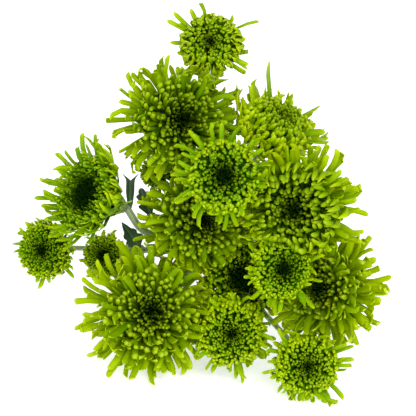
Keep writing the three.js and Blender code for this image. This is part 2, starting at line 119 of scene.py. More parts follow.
# Each bloom: its name and age, its seat, how far and which way it leans in degrees, its reach, where its
# stalk leaves its carrier, and then the measures in which it differs from others of its age.
BLOOMS = [
    dict(name="bloom_crown", age="half", seat=(7.5, 40, 92), lean=4, towards=60, reach=33, at=0.97,
         girth=1.1, edge=0.55, night=0.36, ripe=-0.48,
         singles=[(-17, 25, 2), (-1.5, 28, 4), (-26, 3, 0), (-25, -13, 2), (-11.5, -15, 6), (-1.5, -24, 6),
                  (17, 19, 2)]),
    dict(name="bloom_top", age="half", seat=(1.7, 108.3, 56), lean=12, towards=100, reach=28, at=0.50,
         edge=0.54, ripe=0.0, upper=14, stagger=0.4, strap_lean=0.92, inner=420, curl=0.26, packing=1.2,
         singles=[(-23.5, 14.5, 0), (-20, 17, -2), (-11.5, 19.5, 2), (19, -10.5, 0), (-21, 3, -4),
                  (18.5, 4, 0)]),
    dict(name="bloom_upper_left", age="open", seat=(-17, 68.5, 64), lean=14, towards=20, reach=43, at=0.62,
         night=0.27, ripe=0.4),
    dict(name="bloom_upper_right", age="half", seat=(30.7, 59.3, 66), lean=50, towards=58, reach=36,
         at=0.72, long=26, edge=0.54, hollow=0.12, strap=1.7, upper=70, upper_to=56, stagger=0.4,
         inner=490, inner_to=74, crowd=1.1, bead_lean=0.6, night=0.05, ripe=0.3,
         singles=[(-12, 28.5, -6), (-15.5, 17, 3), (-17, 8, 6), (-16, 4, 8), (15, 21, -10), (24, 11, -12)]),
    dict(name="bloom_right", age="open", seat=(47.5, 25.5, 78), lean=14, towards=205, reach=42, at=0.66,
         edge=0.66, strap_lean=1.0, curl=0.22, upper=90, upper_to=66, inner=340, inner_to=70, packing=1.0,
         night=0.28, ripe=0.3),
    dict(name="bloom_left", age="cupped", seat=(-48.5, 26.5, 58), lean=46, towards=160, reach=43, at=0.52,
         via=[(-35, 13.5, 50)], arriving=0.1, stout=1.4,
         singles=[(-31, 24, -2), (-26.5, 29, -4), (-14.5, 31, -2), (-9, 26, 4), (-3.5, 26, 8), (-38, 14, 0),
                  (-42, 4, 0), (-39, -2, -2), (-36, -9, -2), (-31, -15, -4)]),
    # Its heart's dark reaches far and its quills are less yellow: painted shade, for it lies under its
    # neighbours.
    dict(name="bloom_hidden_left", age="young", seat=(-26, 43, 40), lean=8, towards=120, reach=14,
         carrier="bloom_upper_left", at=0.45, inner=460, night=0.5, ripe=-0.3),
    # Its quills are yellower than its age's: partly painted light, against the shade that its neighbours cast
    # on it.
    dict(name="bloom_middle", age="open", seat=(-4.5, 17.5, 54), lean=8, towards=10, reach=42, at=0.60,
         girth=1.05, night=0.24, ripe=0.6),
    dict(name="bloom_far_left", age="young", seat=(-82, 2.5, 42), lean=24, towards=184, reach=22.5,
         at=0.46, girth=1.2, ragged=0.26, ripe=-0.34,
         singles=[(-20, 4, 6), (-19.5, 0.5, 8), (-18, -4, 7), (-13, 15, 4), (-5.5, -20.5, 5), (-9, -17.5, 6),
                  (-2, -17.5, 6), (11.5, -14.5, 4)]),
    dict(name="bloom_low_left", age="young", seat=(-53.5, -0.5, 40), lean=8, towards=180, reach=17,
         carrier="bloom_far_left", at=0.45, night=0.42),
    dict(name="bloom_lower_left", age="open", seat=(-30.5, -31, 57), lean=9, towards=60, reach=45, at=0.56,
         strap=1.7, stagger=0.4, ripe=0.7),
    dict(name="bloom_inner_right", age="half", seat=(37, -7, 82), lean=8, towards=10, reach=26,
         carrier="bloom_right", at=0.40, girth=1.0, night=0.36, ripe=-0.42,
         singles=[(21, -6.5, 4), (18.5, -20, 3), (-17, 12, 0), (3, 21, 2)]),
    # Its quills are far yellower than its age's: partly painted light, against the shade on its left side.
    dict(name="bloom_lower_right", age="open", seat=(63, -17, 62), lean=20, towards=180, reach=41, at=0.54,
         strap=1.8, upper=150, upper_to=40, stagger=0.3, inner=220, inner_to=50, night=0.28, ripe=1.05),
    # Its heart's dark reaches far: painted shade, for it lies deep among its neighbours.
    dict(name="bloom_deep", age="young", seat=(17, -11, 48), lean=4, towards=300, reach=32, at=0.58,
         inner=600, night=0.45),
    dict(name="bloom_lower", age="half", seat=(12, -39.5, 64), lean=6, towards=270, reach=29, at=0.53,
         long=12,
         singles=[(4, -24, 0), (8, -26, -2), (24, -3, 0), (-10, -22, 0), (17, -14, 0), (-18, -10, 0)]),
    dict(name="bloom_bottom_right", age="half", seat=(50.5, -55.5, 74), lean=8, towards=290, reach=27,
         at=0.44, long=13,
         singles=[(12.5, -25.5, -2), (-8, -22.5, -2), (-23.5, -5, 0), (25, 2.5, 0), (21, -17, 0), (5, -23, 0),
                  (-15, -14, 0), (24, 9, -2), (-17, 11, 2), (-3, -21, 0)]),
]

# How neighbouring blooms press each other: how near counts as a neighbour, in reaches, where the middle of
# a bloom lies, and how flat the walls between them stand.
PRESS = {"passes": 3, "near": 1.1, "middle": 0.4, "flatness": 2}

# Outlines of leaves: pairs of a share of the length and half the width there, as a share of its greatest.
LOBED = [(0, 0.14), (0.15, 0.11), (0.20, 0.34), (0.29, 0.62), (0.33, 0.58), (0.37, 0.34), (0.43, 0.62),
         (0.50, 0.98), (0.54, 0.96), (0.60, 0.44), (0.68, 0.70), (0.74, 0.84), (0.78, 0.78), (0.83, 0.44),
         (0.90, 0.38), (0.96, 0.22), (1, 0)]
POINTED = [(0, 0.15), (0.10, 0.22), (0.22, 0.66), (0.36, 0.98), (0.44, 0.86), (0.50, 0.62), (0.60, 0.74),
           (0.66, 0.66), (0.72, 0.42), (0.86, 0.26), (1, 0)]
FORKED = [(0, 0.12), (0.12, 0.34), (0.4, 0.50), (0.75, 0.50), (0.88, 0.56), (0.95, 0.76), (1, 1.0)]
# What a leaf has unless it says otherwise. For each millimetre out from its middle it rises by its fold and
# lies forward by its sweep, and it arches by a share of its length. It is sunk into the bark, and the rib
# under it has a depth at the root and a reach to each side, all in millimetres.
LEAF = {"outline": LOBED, "fold": 0.25, "arch": 0.12, "sweep": 0.4, "sunk": 0.5, "rib": 1.3, "rib_reach": 1.2}
LEAVES = [
    dict(name="leaf_left_upper", stalk="bloom_left", at=0.88, tip=(-41, 39, 37), width=9, outline=FORKED,
         sweep=0.9),
    dict(name="leaf_left_inner", stalk="bloom_left", at=0.60, tip=(-36, 35, 30), width=9),
    dict(name="leaf_left_lower", stalk="bloom_far_left", at=0.46, tip=(-46, 17, 30), width=11,
         outline=POINTED, sweep=0.2),
    dict(name="leaf_top", stalk="bloom_top", at=0.33, tip=(-14, 60, 8), width=16),
    dict(name="leaf_right", stalk="bloom_right", at=0.30, tip=(50, 20, 18), width=17),
    dict(name="leaf_lower", stalk="bloom_lower", at=0.30, tip=(-7, -38, 22), width=15),
    dict(name="leaf_stem", stalk="stem", at=0.38, tip=(-22, -16, 2), width=16),
]


# ---------------- numbers and curves

# How far apart the seeds of two neighbouring blooms lie, for each kind of draw.
SEEDS = {"quill": 1000, "upper": 500, "tint": 77, "hair": 3000, "bract_turn": 31, "bract_length": 57}


def chance(seed):
    """A fixed draw between 0 and 1 for each seed, the same one as the CAD blooms are grown with."""
    wave = np.sin(np.asarray(seed) * 12.9898 + 4.1414) * 43758.5453
    return wave - np.floor(wave)


def unit(vectors):
    """Vectors of length 1 that point the same way."""
    vectors = np.asarray(vectors, float)
    return vectors / np.maximum(np.linalg.norm(vectors, axis=-1, keepdims=True), 1e-9)


def ramp(value, low, high):
    """0 below low, 1 above high, and a smooth rise between them."""
    share = np.clip((np.asarray(value, float) - low) / (high - low), 0, 1)
    return share * share * (3 - 2 * share)


class Route:
    """A smooth curve through some places, read by shares of its length."""

    STEPS = 60  # between one place and the next
    PROBE = 0.005  # how far to each side its direction is measured

    def __init__(self, through):
        through = np.array(through, float)
        padded = [2 * through[0] - through[1], *through, 2 * through[-1] - through[-2]]
        pieces = [self.piece(*four) for four in zip(padded, padded[1:], padded[2:], padded[3:])]
        self.places = np.concatenate([*pieces, through[-1:]])
        lengths = np.linalg.norm(np.diff(self.places, axis=0), axis=1)
        covered = np.concatenate([[0], np.cumsum(lengths)])
        self.length = covered[-1]
        self.shares = covered / self.length

    def piece(self, before, start, end, after):
        """The stretch from start to end of the centripetal curve through four places."""
        d0, d1, d2 = (math.sqrt(np.linalg.norm(b - a)) for a, b in
                      ((before, start), (start, end), (end, after)))
        leave = ((start - before) / d0 - (end - before) / (d0 + d1) + (end - start) / d1) * d1
        arrive = ((end - start) / d1 - (after - start) / (d1 + d2) + (after - end) / d2) * d1
        t = np.linspace(0, 1, self.STEPS, endpoint=False)[:, None]
        return (start * (2 * t**3 - 3 * t**2 + 1) + leave * (t**3 - 2 * t**2 + t)
                + end * (3 * t**2 - 2 * t**3) + arrive * (t**3 - t**2))

    def at(self, share):
        return np.stack([np.interp(share, self.shares, self.places[:, i]) for i in range(3)], axis=-1)

    def towards(self, share):
        share = np.clip(share, self.PROBE, 1 - self.PROBE)
        return unit(self.at(share + self.PROBE) - self.at(share - self.PROBE))


def leaning(lean, towards):
    """The unit vector that leans from +Z towards a direction in the XY plane, both in degrees."""
    lean, towards = math.radians(lean), math.radians(towards)
    return np.array([math.sin(lean) * math.cos(towards), math.sin(lean) * math.sin(towards), math.cos(lean)])


def bezier(points, shares):
    """Places on cubic Bezier curves: points is (4, curves, 3), shares is (curves, rows)."""
    t = shares[..., None]
    p0, p1, p2, p3 = (point[:, None, :] for point in points)
    return p0 * (1 - t)**3 + 3 * p1 * t * (1 - t)**2 + 3 * p2 * t**2 * (1 - t) + p3 * t**3


# ---------------- the blooms' and stalks' places

def plan_blooms():
    """Gives each bloom its age's measures, its axis, turn and middle, and the walls that press it."""
    for number, bloom in enumerate(BLOOMS):
        age = AGES.index(bloom["age"])
        bloom.update({**BLOOM, **{name: row[age] for name, row in MEASURES.items()}, **bloom})
        bloom["seed"] = number + 1
        bloom["seat"] = np.array(bloom["seat"], float)
        bloom["axis"] = leaning(bloom["lean"], bloom["towards"])
        turn = Vector((0, 0, 1)).rotation_difference(Vector(bloom["axis"]))
        bloom["turn"] = np.array(turn.to_matrix())
        bloom["middle"] = bloom["seat"] + bloom["axis"] * PRESS["middle"] * bloom["reach"]
        bloom["room"] = bloom["reach"] * bloom["girth"]
    for bloom in BLOOMS:
        bloom["walls"] = [wall_between(bloom, other) for other in BLOOMS if presses(bloom, other)]


def presses(bloom, other):
    if other is bloom:
        return False
    apart = np.linalg.norm(other["middle"] - bloom["middle"])
    return apart < PRESS["near"] * (bloom["reach"] + other["reach"])


def wall_between(bloom, other):
    """The normal, and its distance from the origin, of the plane that parts a bloom from another."""
    between = other["middle"] - bloom["middle"]
    share = bloom["room"] / (bloom["room"] + other["room"])
    normal = unit(between * np.array([1, 1, PRESS["flatness"]]))
    return normal, normal @ (bloom["middle"] + between * share)


def pressed(bloom, places, clearance):
    """The places, with those that come nearer than clearance to a wall moved back from it."""
    places = places.copy()
    for _ in range(PRESS["passes"]):
        for normal, distance in bloom["walls"]:
            over = np.maximum(places @ normal - distance + clearance, 0)
            places -= over[..., None] * normal
    return places


def above_floor(places, clearance):
    """The places, with those that come nearer than clearance to the floor raised off it."""
    upwards = np.array(LAID_TURN)[2]
    height = places @ upwards + LAID_AT.z / MM
    return places + np.maximum(clearance - height, 0)[..., None] * upwards


def plan_routes():
    """The route of the main stem and of each bloom's stalk, by name."""
    routes = {"stem": Route(MAIN_STEM)}
    for bloom in BLOOMS:
        carrier = routes[bloom["carrier"]]
        root = carrier.at(bloom["at"])
        distance = np.linalg.norm(bloom["seat"] - root)
        leaving = unit(carrier.towards(bloom["at"]) + unit(bloom["seat"] - root))
        routes[bloom["name"]] = Route([
            root,
            root + leaving * distance * STALK["leaving"],
            *bloom["via"],
            bloom["seat"] - bloom["axis"] * distance * bloom["arriving"],
            bloom["seat"] - bloom["axis"] * GAP,
        ])
    return routes


plan_blooms()
ROUTES = plan_routes()


# ---------------- meshes

class Shape:
    """Corners and faces that are gathered from many parts, with one colour attribute."""

    def __init__(self):
        self.corners = []
        self.faces = []
        self.marks = []
        self.count = 0

    def add(self, corners, faces, marks):
        """Adds a mesh, or copies of one: corners (n, 3) or (copies, n, 3), its faces, and their marks."""
        size = corners.shape[-2]
        corners = corners.reshape(-1, 3)
        for start in range(self.count, self.count + len(corners), size):
            self.faces.extend([[c + start for c in face] for face in faces])
        self.corners.append(corners)
        self.marks.append(marks.reshape(-1, 4))
        self.count += len(corners)

    def piece(self, name, finish, slot, *nodes):
        """The shape, laid down in the room, as a finished piece that stands for some CAD nodes."""
        mesh = bpy.data.meshes.new(name)
        mesh.from_pydata(laid(np.concatenate(self.corners)).tolist(), [], self.faces)
        marks = mesh.attributes.new("marks", "FLOAT_COLOR", "POINT")
        marks.data.foreach_set("color", np.concatenate(self.marks).astype(np.float32).ravel())
        mesh.polygons.foreach_set("use_smooth", [True] * len(mesh.polygons))
        mesh.materials.append(finish)
        mesh.validate()
        piece = bpy.data.objects.new(name, mesh)
        bpy.context.scene.collection.objects.link(piece)
        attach(piece, "root")
        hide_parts(*nodes)


def tube_faces(rows, sides):
    """The four-sided faces between the rings of a tube."""
    ring = [(i, (i + 1) % sides) for i in range(sides)]
    return [[low + i, low + j, low + sides + j, low + sides + i]
            for low in range(0, (rows - 1) * sides, sides) for i, j in ring]


def sheet_faces(rows, columns):
    """The faces of a thin closed sheet: a grid's upper side, its lower side and the rim between them."""
    size = rows * columns
    upper = [[r * columns + c, r * columns + c + 1, (r + 1) * columns + c + 1, (r + 1) * columns + c]
             for r in range(rows - 1) for c in range(columns - 1)]
    lower = [[c + size for c in face[::-1]] for face in upper]
    grid = np.arange(size).reshape(rows, columns)
    edge = np.concatenate([grid[:, 0], grid[-1, 1:], grid[-2::-1, -1], grid[0, -2:0:-1]]).tolist()
    rim = [[a, b, b + size, a + size] for a, b in zip(edge, edge[1:] + edge[:1])]
    return upper + lower + rim


def start_clean():
    """Leaves nothing selected, so that an operator acts on new things alone."""
    bpy.ops.object.select_all(action="DESELECT")


def drawn_up(sides, rows):
    """A closed form drawn up from a ring by extrusion: rows of (height, half width, half thickness)."""
    start_clean()
    bpy.ops.mesh.primitive_circle_add(vertices=sides, radius=1, fill_type="NGON", location=(0, 0, rows[0][0]))
    bpy.ops.object.mode_set(mode="EDIT")
    bpy.ops.mesh.select_all(action="SELECT")
    bpy.ops.transform.resize(value=(rows[0][1], rows[0][2], 1))
    for below, above in zip(rows, rows[1:]):
        rise = (0, 0, above[0] - below[0])
        bpy.ops.mesh.extrude_region_move(TRANSFORM_OT_translate={"value": rise})
        bpy.ops.transform.resize(value=(above[1] / below[1], above[2] / below[2], 1))
    bpy.ops.mesh.select_all(action="SELECT")
    bpy.ops.mesh.normals_make_consistent(inside=False)
    bpy.ops.object.mode_set(mode="OBJECT")
    bpy.ops.object.transform_apply(location=True, rotation=True, scale=True)
    return bpy.context.object


def taken(made):
    """The corners and faces of a modelled form, which is then removed."""
    corners = np.array([v.co for v in made.data.vertices])
    faces = [list(p.vertices) for p in made.data.polygons]
    mesh = made.data
    bpy.data.objects.remove(made)
    bpy.data.meshes.remove(mesh)
    return corners, faces


def pushed(made, chosen, by):
    """Moves the corners of a form that `chosen` picks by their places."""
    bpy.ops.object.mode_set(mode="EDIT")
    bpy.ops.mesh.select_mode(type="VERT")
    bpy.ops.mesh.select_all(action="DESELECT")
    bpy.ops.object.mode_set(mode="OBJECT")
    for vertex in made.data.vertices:
        vertex.select = bool(chosen(vertex.co))
    bpy.ops.object.mode_set(mode="EDIT")
    bpy.ops.transform.translate(value=by)
    bpy.ops.object.mode_set(mode="OBJECT")


# ---------------- shader building

class Value:
    """One output of a finish's nodes. Python's operators add Math nodes to it."""

    def __init__(self, finish, socket):
        self.finish = finish
        self.socket = socket

    def maths(self, operation, *values):
        return self.finish.node("Math", {"operation": operation}, dict(enumerate(values)))

    def __add__(self, other):
        return self.maths("ADD", self, other)

    __radd__ = __add__

    def __sub__(self, other):
        return self.maths("SUBTRACT", self, other)

    def __rsub__(self, other):
        return self.maths("SUBTRACT", other, self)

    def __mul__(self, other):
        return self.maths("MULTIPLY", self, other)

    __rmul__ = __mul__

    def sine(self):
        return self.maths("SINE", self)

    def clamped(self):
        return self.finish.node("Clamp", {}, {"Value": self}, "Result")


class Finish:
    """A material under construction."""

    def __init__(self, name):
        self.material = bpy.data.materials.new(name)
        self.material.use_nodes = True
        self.nodes = self.material.node_tree.nodes
        self.links = self.material.node_tree.links
        self.shader = self.nodes["Principled BSDF"]

    def node(self, kind, settings, inputs, output=0):
        """Adds a node with its settings and then its inputs, and gives one of its outputs."""
        node = self.nodes.new("ShaderNode" + kind)
        for key, setting in settings.items():
            if key == "stops":
                self.set_stops(node.color_ramp, setting)
            else:
                setattr(node, key, setting)
        for key, value in inputs.items():
            self.feed(node.inputs[key], value)
        return Value(self, node.outputs[output])

    def set_stops(self, colour_ramp, stops):
        while len(colour_ramp.elements) < len(stops):
            colour_ramp.elements.new(1)
        for element, (place, grey) in zip(colour_ramp.elements, stops):
            element.position = place
            element.color = (grey, grey, grey, 1)

    def feed(self, socket, value):
        if isinstance(value, Value):
            self.links.new(value.socket, socket)
        else:
            socket.default_value = value

    def set(self, **inputs):
        """Feeds the shader's own sockets, named with underscores for spaces."""
        for key, value in inputs.items():
            self.feed(self.shader.inputs[key.replace("_", " ")], value)

    def marks(self):
        """The four numbers that each corner carries."""
        colour = self.node("Attribute", {"attribute_name": "marks"}, {}, "Color")
        parts = [self.node("SeparateColor", {}, {"Color": colour}, part) for part in range(3)]
        return [*parts, Value(self, colour.socket.node.outputs["Alpha"])]

    def noise(self, scale, detail):
        place = self.node("TexCoord", {}, {}, "Object")
        return self.node("TexNoise", {}, {"Vector": place, "Scale": scale, "Detail": detail}, "Fac")

    def graded(self, value, *stops):
        """A grey that follows a value over some stops of (value, grey)."""
        return self.node("ValToRGB", {"stops": stops}, {"Fac": value})

    def mixed(self, share, first, second):
        """One colour where share is 0, and another where it is 1. They are outputs or colour properties."""
        colours = [one if isinstance(one, Value) else opaque(one) for one in (first, second)]
        inputs = {"Factor": share, "A": colours[0], "B": colours[1]}
        return self.node("Mix", {"data_type": "RGBA"}, inputs, 2)

    def bump(self, strength, distance, height):
        return self.node("Bump", {}, {"Strength": strength, "Distance": distance, "Height": height})


def opaque(colour):
    """A colour property as a socket's four numbers."""
    return (*colour, 1)


# ---------------- properties

def colour_property(name, description, default):
    return FloatVectorProperty(name=name, description=description, default=default, min=0, max=1,
                               subtype="COLOR", size=3)


class BloomSettings(bpy.types.PropertyGroup):
    """Sizes and colours of the blooms."""

    fullness: FloatProperty(
        name="Fullness", description="How wide the quills are, as a share of their usual width",
        default=1.0, min=0.5, max=1.5, subtype="FACTOR")
    # The tips' colour is their own yellow-green together with painted highlight.
    tip: colour_property("Tips", "Colour of the quills' ripe tips", (0.468, 0.605, 0.0))
    blade: colour_property("Blades", "Colour of the quills along their length", (0.162, 0.352, 0.0))
    # The roots' colour is painted shade where the quills crowd together.
    root: colour_property("Roots", "Colour of the quills where they leave the bloom", (0.014, 0.078, 0.0))
    # Pale ends: a painted highlight on the very ends of the tips.
    pale: colour_property("Pale ends", "Colour of the very ends of the tips", (0.55, 0.71, 0.04))
    young: colour_property("Young quills", "Colour of the youngest blooms' quills", (0.090, 0.285, 0.002))
    # The heart's colour is the youngest quills' dark green together with painted shade of the deep middle.
    heart: colour_property("Heart", "Colour of the youngest quills", (0.002, 0.018, 0.0))


class StemSettings(bpy.types.PropertyGroup):
    """Sizes and colours of the stem and its stalks."""

    sides: IntProperty(name="Sides", description="Sides of each stalk's tube", default=20, min=8, max=48)
    skin: colour_property("Skin", "Colour of the skin on its ridges", (0.44, 0.52, 0.31))
    furrow: colour_property("Furrows", "Colour of the skin between its ridges", (0.20, 0.28, 0.12))
    bract: colour_property("Bracts", "Colour of the tips of the bracts under the blooms", (0.25, 0.39, 0.03))
    clasp: colour_property("Bract roots", "Colour of the bracts where they clasp the cup", (0.12, 0.20, 0.03))
    pith: colour_property("Pith", "Colour of the stem's cut end", (0.62, 0.66, 0.42))


class LeafSettings(bpy.types.PropertyGroup):
    """Sizes and colours of the leaves."""

    thickness: FloatProperty(
        name="Thickness", description="Thickness of the blades", default=0.0005, min=0.0002, max=0.002,
        unit="LENGTH", subtype="DISTANCE")
    blade: colour_property("Blade", "Colour of the upper side", (0.022, 0.078, 0.020))
    vein: colour_property("Veins", "Colour of the veins", (0.10, 0.19, 0.08))
    underside: colour_property("Underside", "Colour of the under side", (0.085, 0.14, 0.075))


class StageSettings(bpy.types.PropertyGroup):
    """The floor, the lights and the camera."""

    lens: FloatProperty(
        name="Lens", description="Focal length of the camera", default=250, min=50, max=500,
        unit="CAMERA", subtype="DISTANCE_CAMERA")
    picture: FloatProperty(
        name="Picture width", description="Width that the picture takes in at the blooms", default=0.2163,
        min=0.05, max=1, unit="LENGTH", subtype="DISTANCE")
    key: FloatProperty(name="Key light", description="Power of the main light", default=16.8, min=0,
                       unit="POWER", subtype="POWER")
    floor: colour_property("Floor", "Colour of the floor", (0.93, 0.93, 0.93))


# ---------------- blooms: the forms of quills

# Rows of (height, half width, half thickness). Heights up to 1 are the shaft and from 1 to 2 the tip.
# Widths are shares of the quill's half width.
STRAP_ROWS = [(0, 0.45, 0.36), (0.3, 0.64, 0.30), (0.55, 0.86, 0.28), (0.78, 1.04, 0.28), (1.0, 1.03, 0.30),
              (1.35, 0.90, 0.30), (1.65, 0.66, 0.26), (1.87, 0.38, 0.20), (2.0, 0.10, 0.10)]
NOTCHED_ROWS = [(0, 0.45, 0.36), (0.3, 0.60, 0.30), (0.55, 0.78, 0.30), (0.78, 0.96, 0.32), (1.0, 1.06, 0.34),
                (1.5, 1.06, 0.30), (1.82, 0.80, 0.24), (2.0, 0.40, 0.12)]
CLUB_ROWS = [(0, 0.60, 0.54), (0.45, 0.72, 0.62), (0.8, 0.88, 0.76), (1.0, 0.97, 0.86), (1.4, 1.0, 0.88),
             (1.75, 0.76, 0.70), (2.0, 0.20, 0.20)]
BEAD_ROWS = [(0, 0.55, 0.55), (0.8, 0.84, 0.84), (1.0, 0.97, 0.97), (1.5, 1.0, 1.0), (1.85, 0.62, 0.62),
             (2.0, 0.15, 0.15)]
QUILL_SIDES = 6
GROOVE = 0.22  # how deep a strap's inner face is grooved, in half widths
NOTCH = 0.40  # how far a notched tip is cut back, as a share of the tip
NOTCHED_SHARE = 0.08  # how many of the outer quills are notched
MIDLINE = 0.05  # how near the middle of its width a corner counts as on it
INNER_FACE = 0.2  # the depth beyond which corners lie on the inner face
GROOVED_FROM = 0.3  # the height above which a strap is grooved
TIP_FACE = 1.9  # the height above which corners belong to the end of a tip


def in_groove(at):
    """Whether a corner of a quill at some place lies in the groove of its inner face."""
    return abs(at.x) < MIDLINE and at.y > INNER_FACE and GROOVED_FROM < at.z < TIP_FACE


def in_notch(at):
    """Whether a corner of a quill at some place lies in the notch at the end of its tip."""
    return abs(at.x) < MIDLINE and at.z > TIP_FACE


class QuillForm:
    """A quill that is modelled once, ready to be laid along many paths."""

    def __init__(self, rows, tip_length, groove=0.0, notch=0.0):
        made = drawn_up(QUILL_SIDES, rows)
        if groove:
            pushed(made, in_groove, (0, -groove, 0))
        if notch:
            pushed(made, in_notch, (0, 0, -notch))
        corners, self.faces = taken(made)
        self.heights, self.row = np.unique(corners[:, 2].round(4), return_inverse=True)
        self.width = corners[:, 0]
        self.depth = corners[:, 1]
        self.tip_length = tip_length  # in half widths

    def row_shares(self, width, length):
        """How far along each quill each row lies, so that tips keep their form on quills of any length."""
        cap = (self.tip_length * width / length)[:, None]
        heights = self.heights[None, :]
        return np.where(heights < 1, heights * (1 - cap), 1 - cap + (heights - 1) * cap)


# ---------------- blooms: the measures of quills

# Lengths are shares of the quill's length, but root, rise and long_share are shares of the bloom's reach.
QUILL = {
    "root": 0.10,  # how far from the bloom's middle quills start
    "rise": 0.06,  # how far above the seat that middle lies
    "long_share": 0.84,  # length of a long quill
    "lean_draw": 0.24,  # radians
    "turn_draw": 0.3,  # radians
    "swell": 1.5,  # the power by which inner quills grow from the middle to the edge
    "hollow": (0.1, 1.2),  # radians of lean over which the hollow of the middle ends
    "handles": (0.42, 0.86),  # how far out the two middle points of a path lie
    "handle_sway": (-0.25, 0.45),  # how far they sway, in sways of the tip
    "bulge": 0.9,  # how much farther out a path runs before it curls inwards
    "curl": 1.4,  # how much a curled quill is hooked for its curl
    "hook_from": 0.66,  # where tips start to hook
    "twist": 1.3,  # radians
    "twist_root": 0.4,  # how much of the twist is at the root
    "interleaved": 1.6,  # millimetres that quills of neighbouring blooms reach past each other
    "clearance": 0.6,  # how far a path keeps from a wall and the floor, in half widths
    "roomy": 3,  # millimetres between inner quills at which their draws are at their full width
    "least_draw": 0.2,  # the share of it that is left where they stand closest
    "upper_start": 1.04,  # where the upper quills start, as a share of the long ones' least lean
}
SINGLE_WIDTH = 1.35  # half width of a single long floret, in millimetres
UPPER_FROM = 1000  # the number of the first upper quill, and of the first single one
SINGLES_FROM = 2000
QUILL_STEP = 7  # how far apart the seeds of two neighbouring quills lie

# Which draw each measure takes. The CAD blooms take the first five in the same way.
DRAW = {"lean": 1, "turn": 2, "long": 3, "ragged": 4, "sway": 5, "width": 6, "bow": 8, "hook_up": 9,
        "hook_in": 10, "hook_aside": 11}
# The middle and the width of the draws by which quills differ. bow is how far a path leans on its way out.
BENDS = {
    "outer": {"width": (1, 0.5), "sway": (0, 0.36), "bow": (0.90, 0.3), "hook_up": (0.10, 0.26),
              "hook_in": (0.08, 0.16), "hook_aside": (0, 0.19)},
    "inner": {"width": (1, 0.3), "sway": (0, 0.36), "bow": (1.25, 0.3), "hook_up": (0.06, 0.20),
              "hook_in": (0, 0.12), "hook_aside": (0, 0.10)},
    "single": {"width": (1, 0.3), "sway": (0, 0.12), "bow": (0.92, 0.2), "hook_up": (0.03, 0.10),
               "hook_in": (0, 0.06), "hook_aside": (0, 0.10)},
}


def draws(bloom, numbers, measure, width):
    """A centred random draw of some width, of one measure of each numbered quill."""
    seed = bloom["seed"] * SEEDS["quill"] + numbers * QUILL_STEP + DRAW[measure]
    return (chance(seed) - 0.5) * width


def quills_of(bloom, layer, numbers, lean, share, width, turn=None):
    """The measures of a layer's quills, by name. They stand in a golden spiral unless turn says otherwise."""
    if turn is None:
        turn = numbers * GOLDEN_ANGLE + draws(bloom, numbers, "turn", QUILL["turn_draw"])
    quills = {measure: middle + draws(bloom, numbers, measure, spread)
              for measure, (middle, spread) in BENDS[layer].items()}
    quills["width"] *= width
    return {**quills, "number": numbers, "lean": lean, "share": share, "turn": turn}


def some(quills, chosen):
    """Those of the quills that a mask chooses."""
    return {name: column[chosen] for name, column in quills.items()}


def tip_share(bloom, lean):
    """How far the tip of an inner quill lies from the middle, as a share of the reach, by its lean."""
    out = (np.abs(lean) / math.radians(bloom["spread"])) ** QUILL["swell"]
    share = bloom["centre"] + (bloom["edge"] - bloom["centre"]) * out
    return share * (1 - bloom["hollow"] * (1 - ramp(np.abs(lean), *QUILL["hollow"])))


def outer_quills(bloom):
    """The long outer quills, the same ones as the CAD bloom's, with shorter ones lying over them."""
    spread = math.radians(bloom["spread"])
    low = np.arange(bloom["long"])
    high = UPPER_FROM + np.arange(bloom["upper"])
    numbers = np.concatenate([low, high])
    rim = spread * math.sqrt(1 - bloom["long"] / bloom["quills"])
    lean = np.concatenate([
        spread * np.sqrt(1 - (low + 0.5) / bloom["quills"]),
        np.linspace(rim * QUILL["upper_start"], math.radians(bloom["upper_to"]), bloom["upper"]),
    ])
    shorter = 1 - bloom["stagger"] * chance(bloom["seed"] * SEEDS["upper"] + high)
    share = QUILL["long_share"] * np.concatenate([np.ones(len(low)), shorter])
    lean += draws(bloom, numbers, "lean", QUILL["lean_draw"])
    share += draws(bloom, numbers, "long", bloom["long_draw"])
    return quills_of(bloom, "outer", numbers, lean, share, bloom["strap"])


def inner_quills(bloom):
    """The quills that fill the middle, closer and smaller towards the heart."""
    count = bloom["inner"]
    numbers = bloom["long"] + np.arange(count)
    rim = math.radians(bloom["inner_to"])
    lean = rim * (1 - (np.arange(count) + 0.5) / count) ** bloom["crowd"]
    share = tip_share(bloom, lean)
    power = 1 / bloom["crowd"] - 1
    slope = (power + 1) * (lean / rim) ** power / rim
    ring = 2 * math.pi * (share * bloom["reach"]) ** 2 * np.sin(lean)
    spacing = np.sqrt(ring / (count * slope))
    room = np.clip(spacing / QUILL["roomy"], QUILL["least_draw"], 1)
    curled = bloom["curl"] * lean / rim * QUILL["curl"]
    lean = lean + draws(bloom, numbers, "lean", QUILL["lean_draw"]) * room
    share = share * (1 + curled) * (1 + draws(bloom, numbers, "ragged", bloom["ragged"]) * room)
    quills = quills_of(bloom, "inner", numbers, lean, share, 0.5 * bloom["packing"] * spacing)
    quills["hook_in"] += curled
    return quills


def single_quills(bloom):
    """The few long florets that stand out of a bloom, each one led to its own place."""
    tips = np.array(bloom["singles"], float) @ bloom["turn"]
    tips[:, 2] -= QUILL["rise"] * bloom["reach"]
    far = np.linalg.norm(tips, axis=1)
    numbers = SINGLES_FROM + np.arange(len(tips))
    lean = np.arccos(tips[:, 2] / far)
    turn = np.arctan2(tips[:, 1], tips[:, 0])
    return quills_of(bloom, "single", numbers, lean, far / bloom["reach"], SINGLE_WIDTH, turn)


# ---------------- blooms: laying the quills

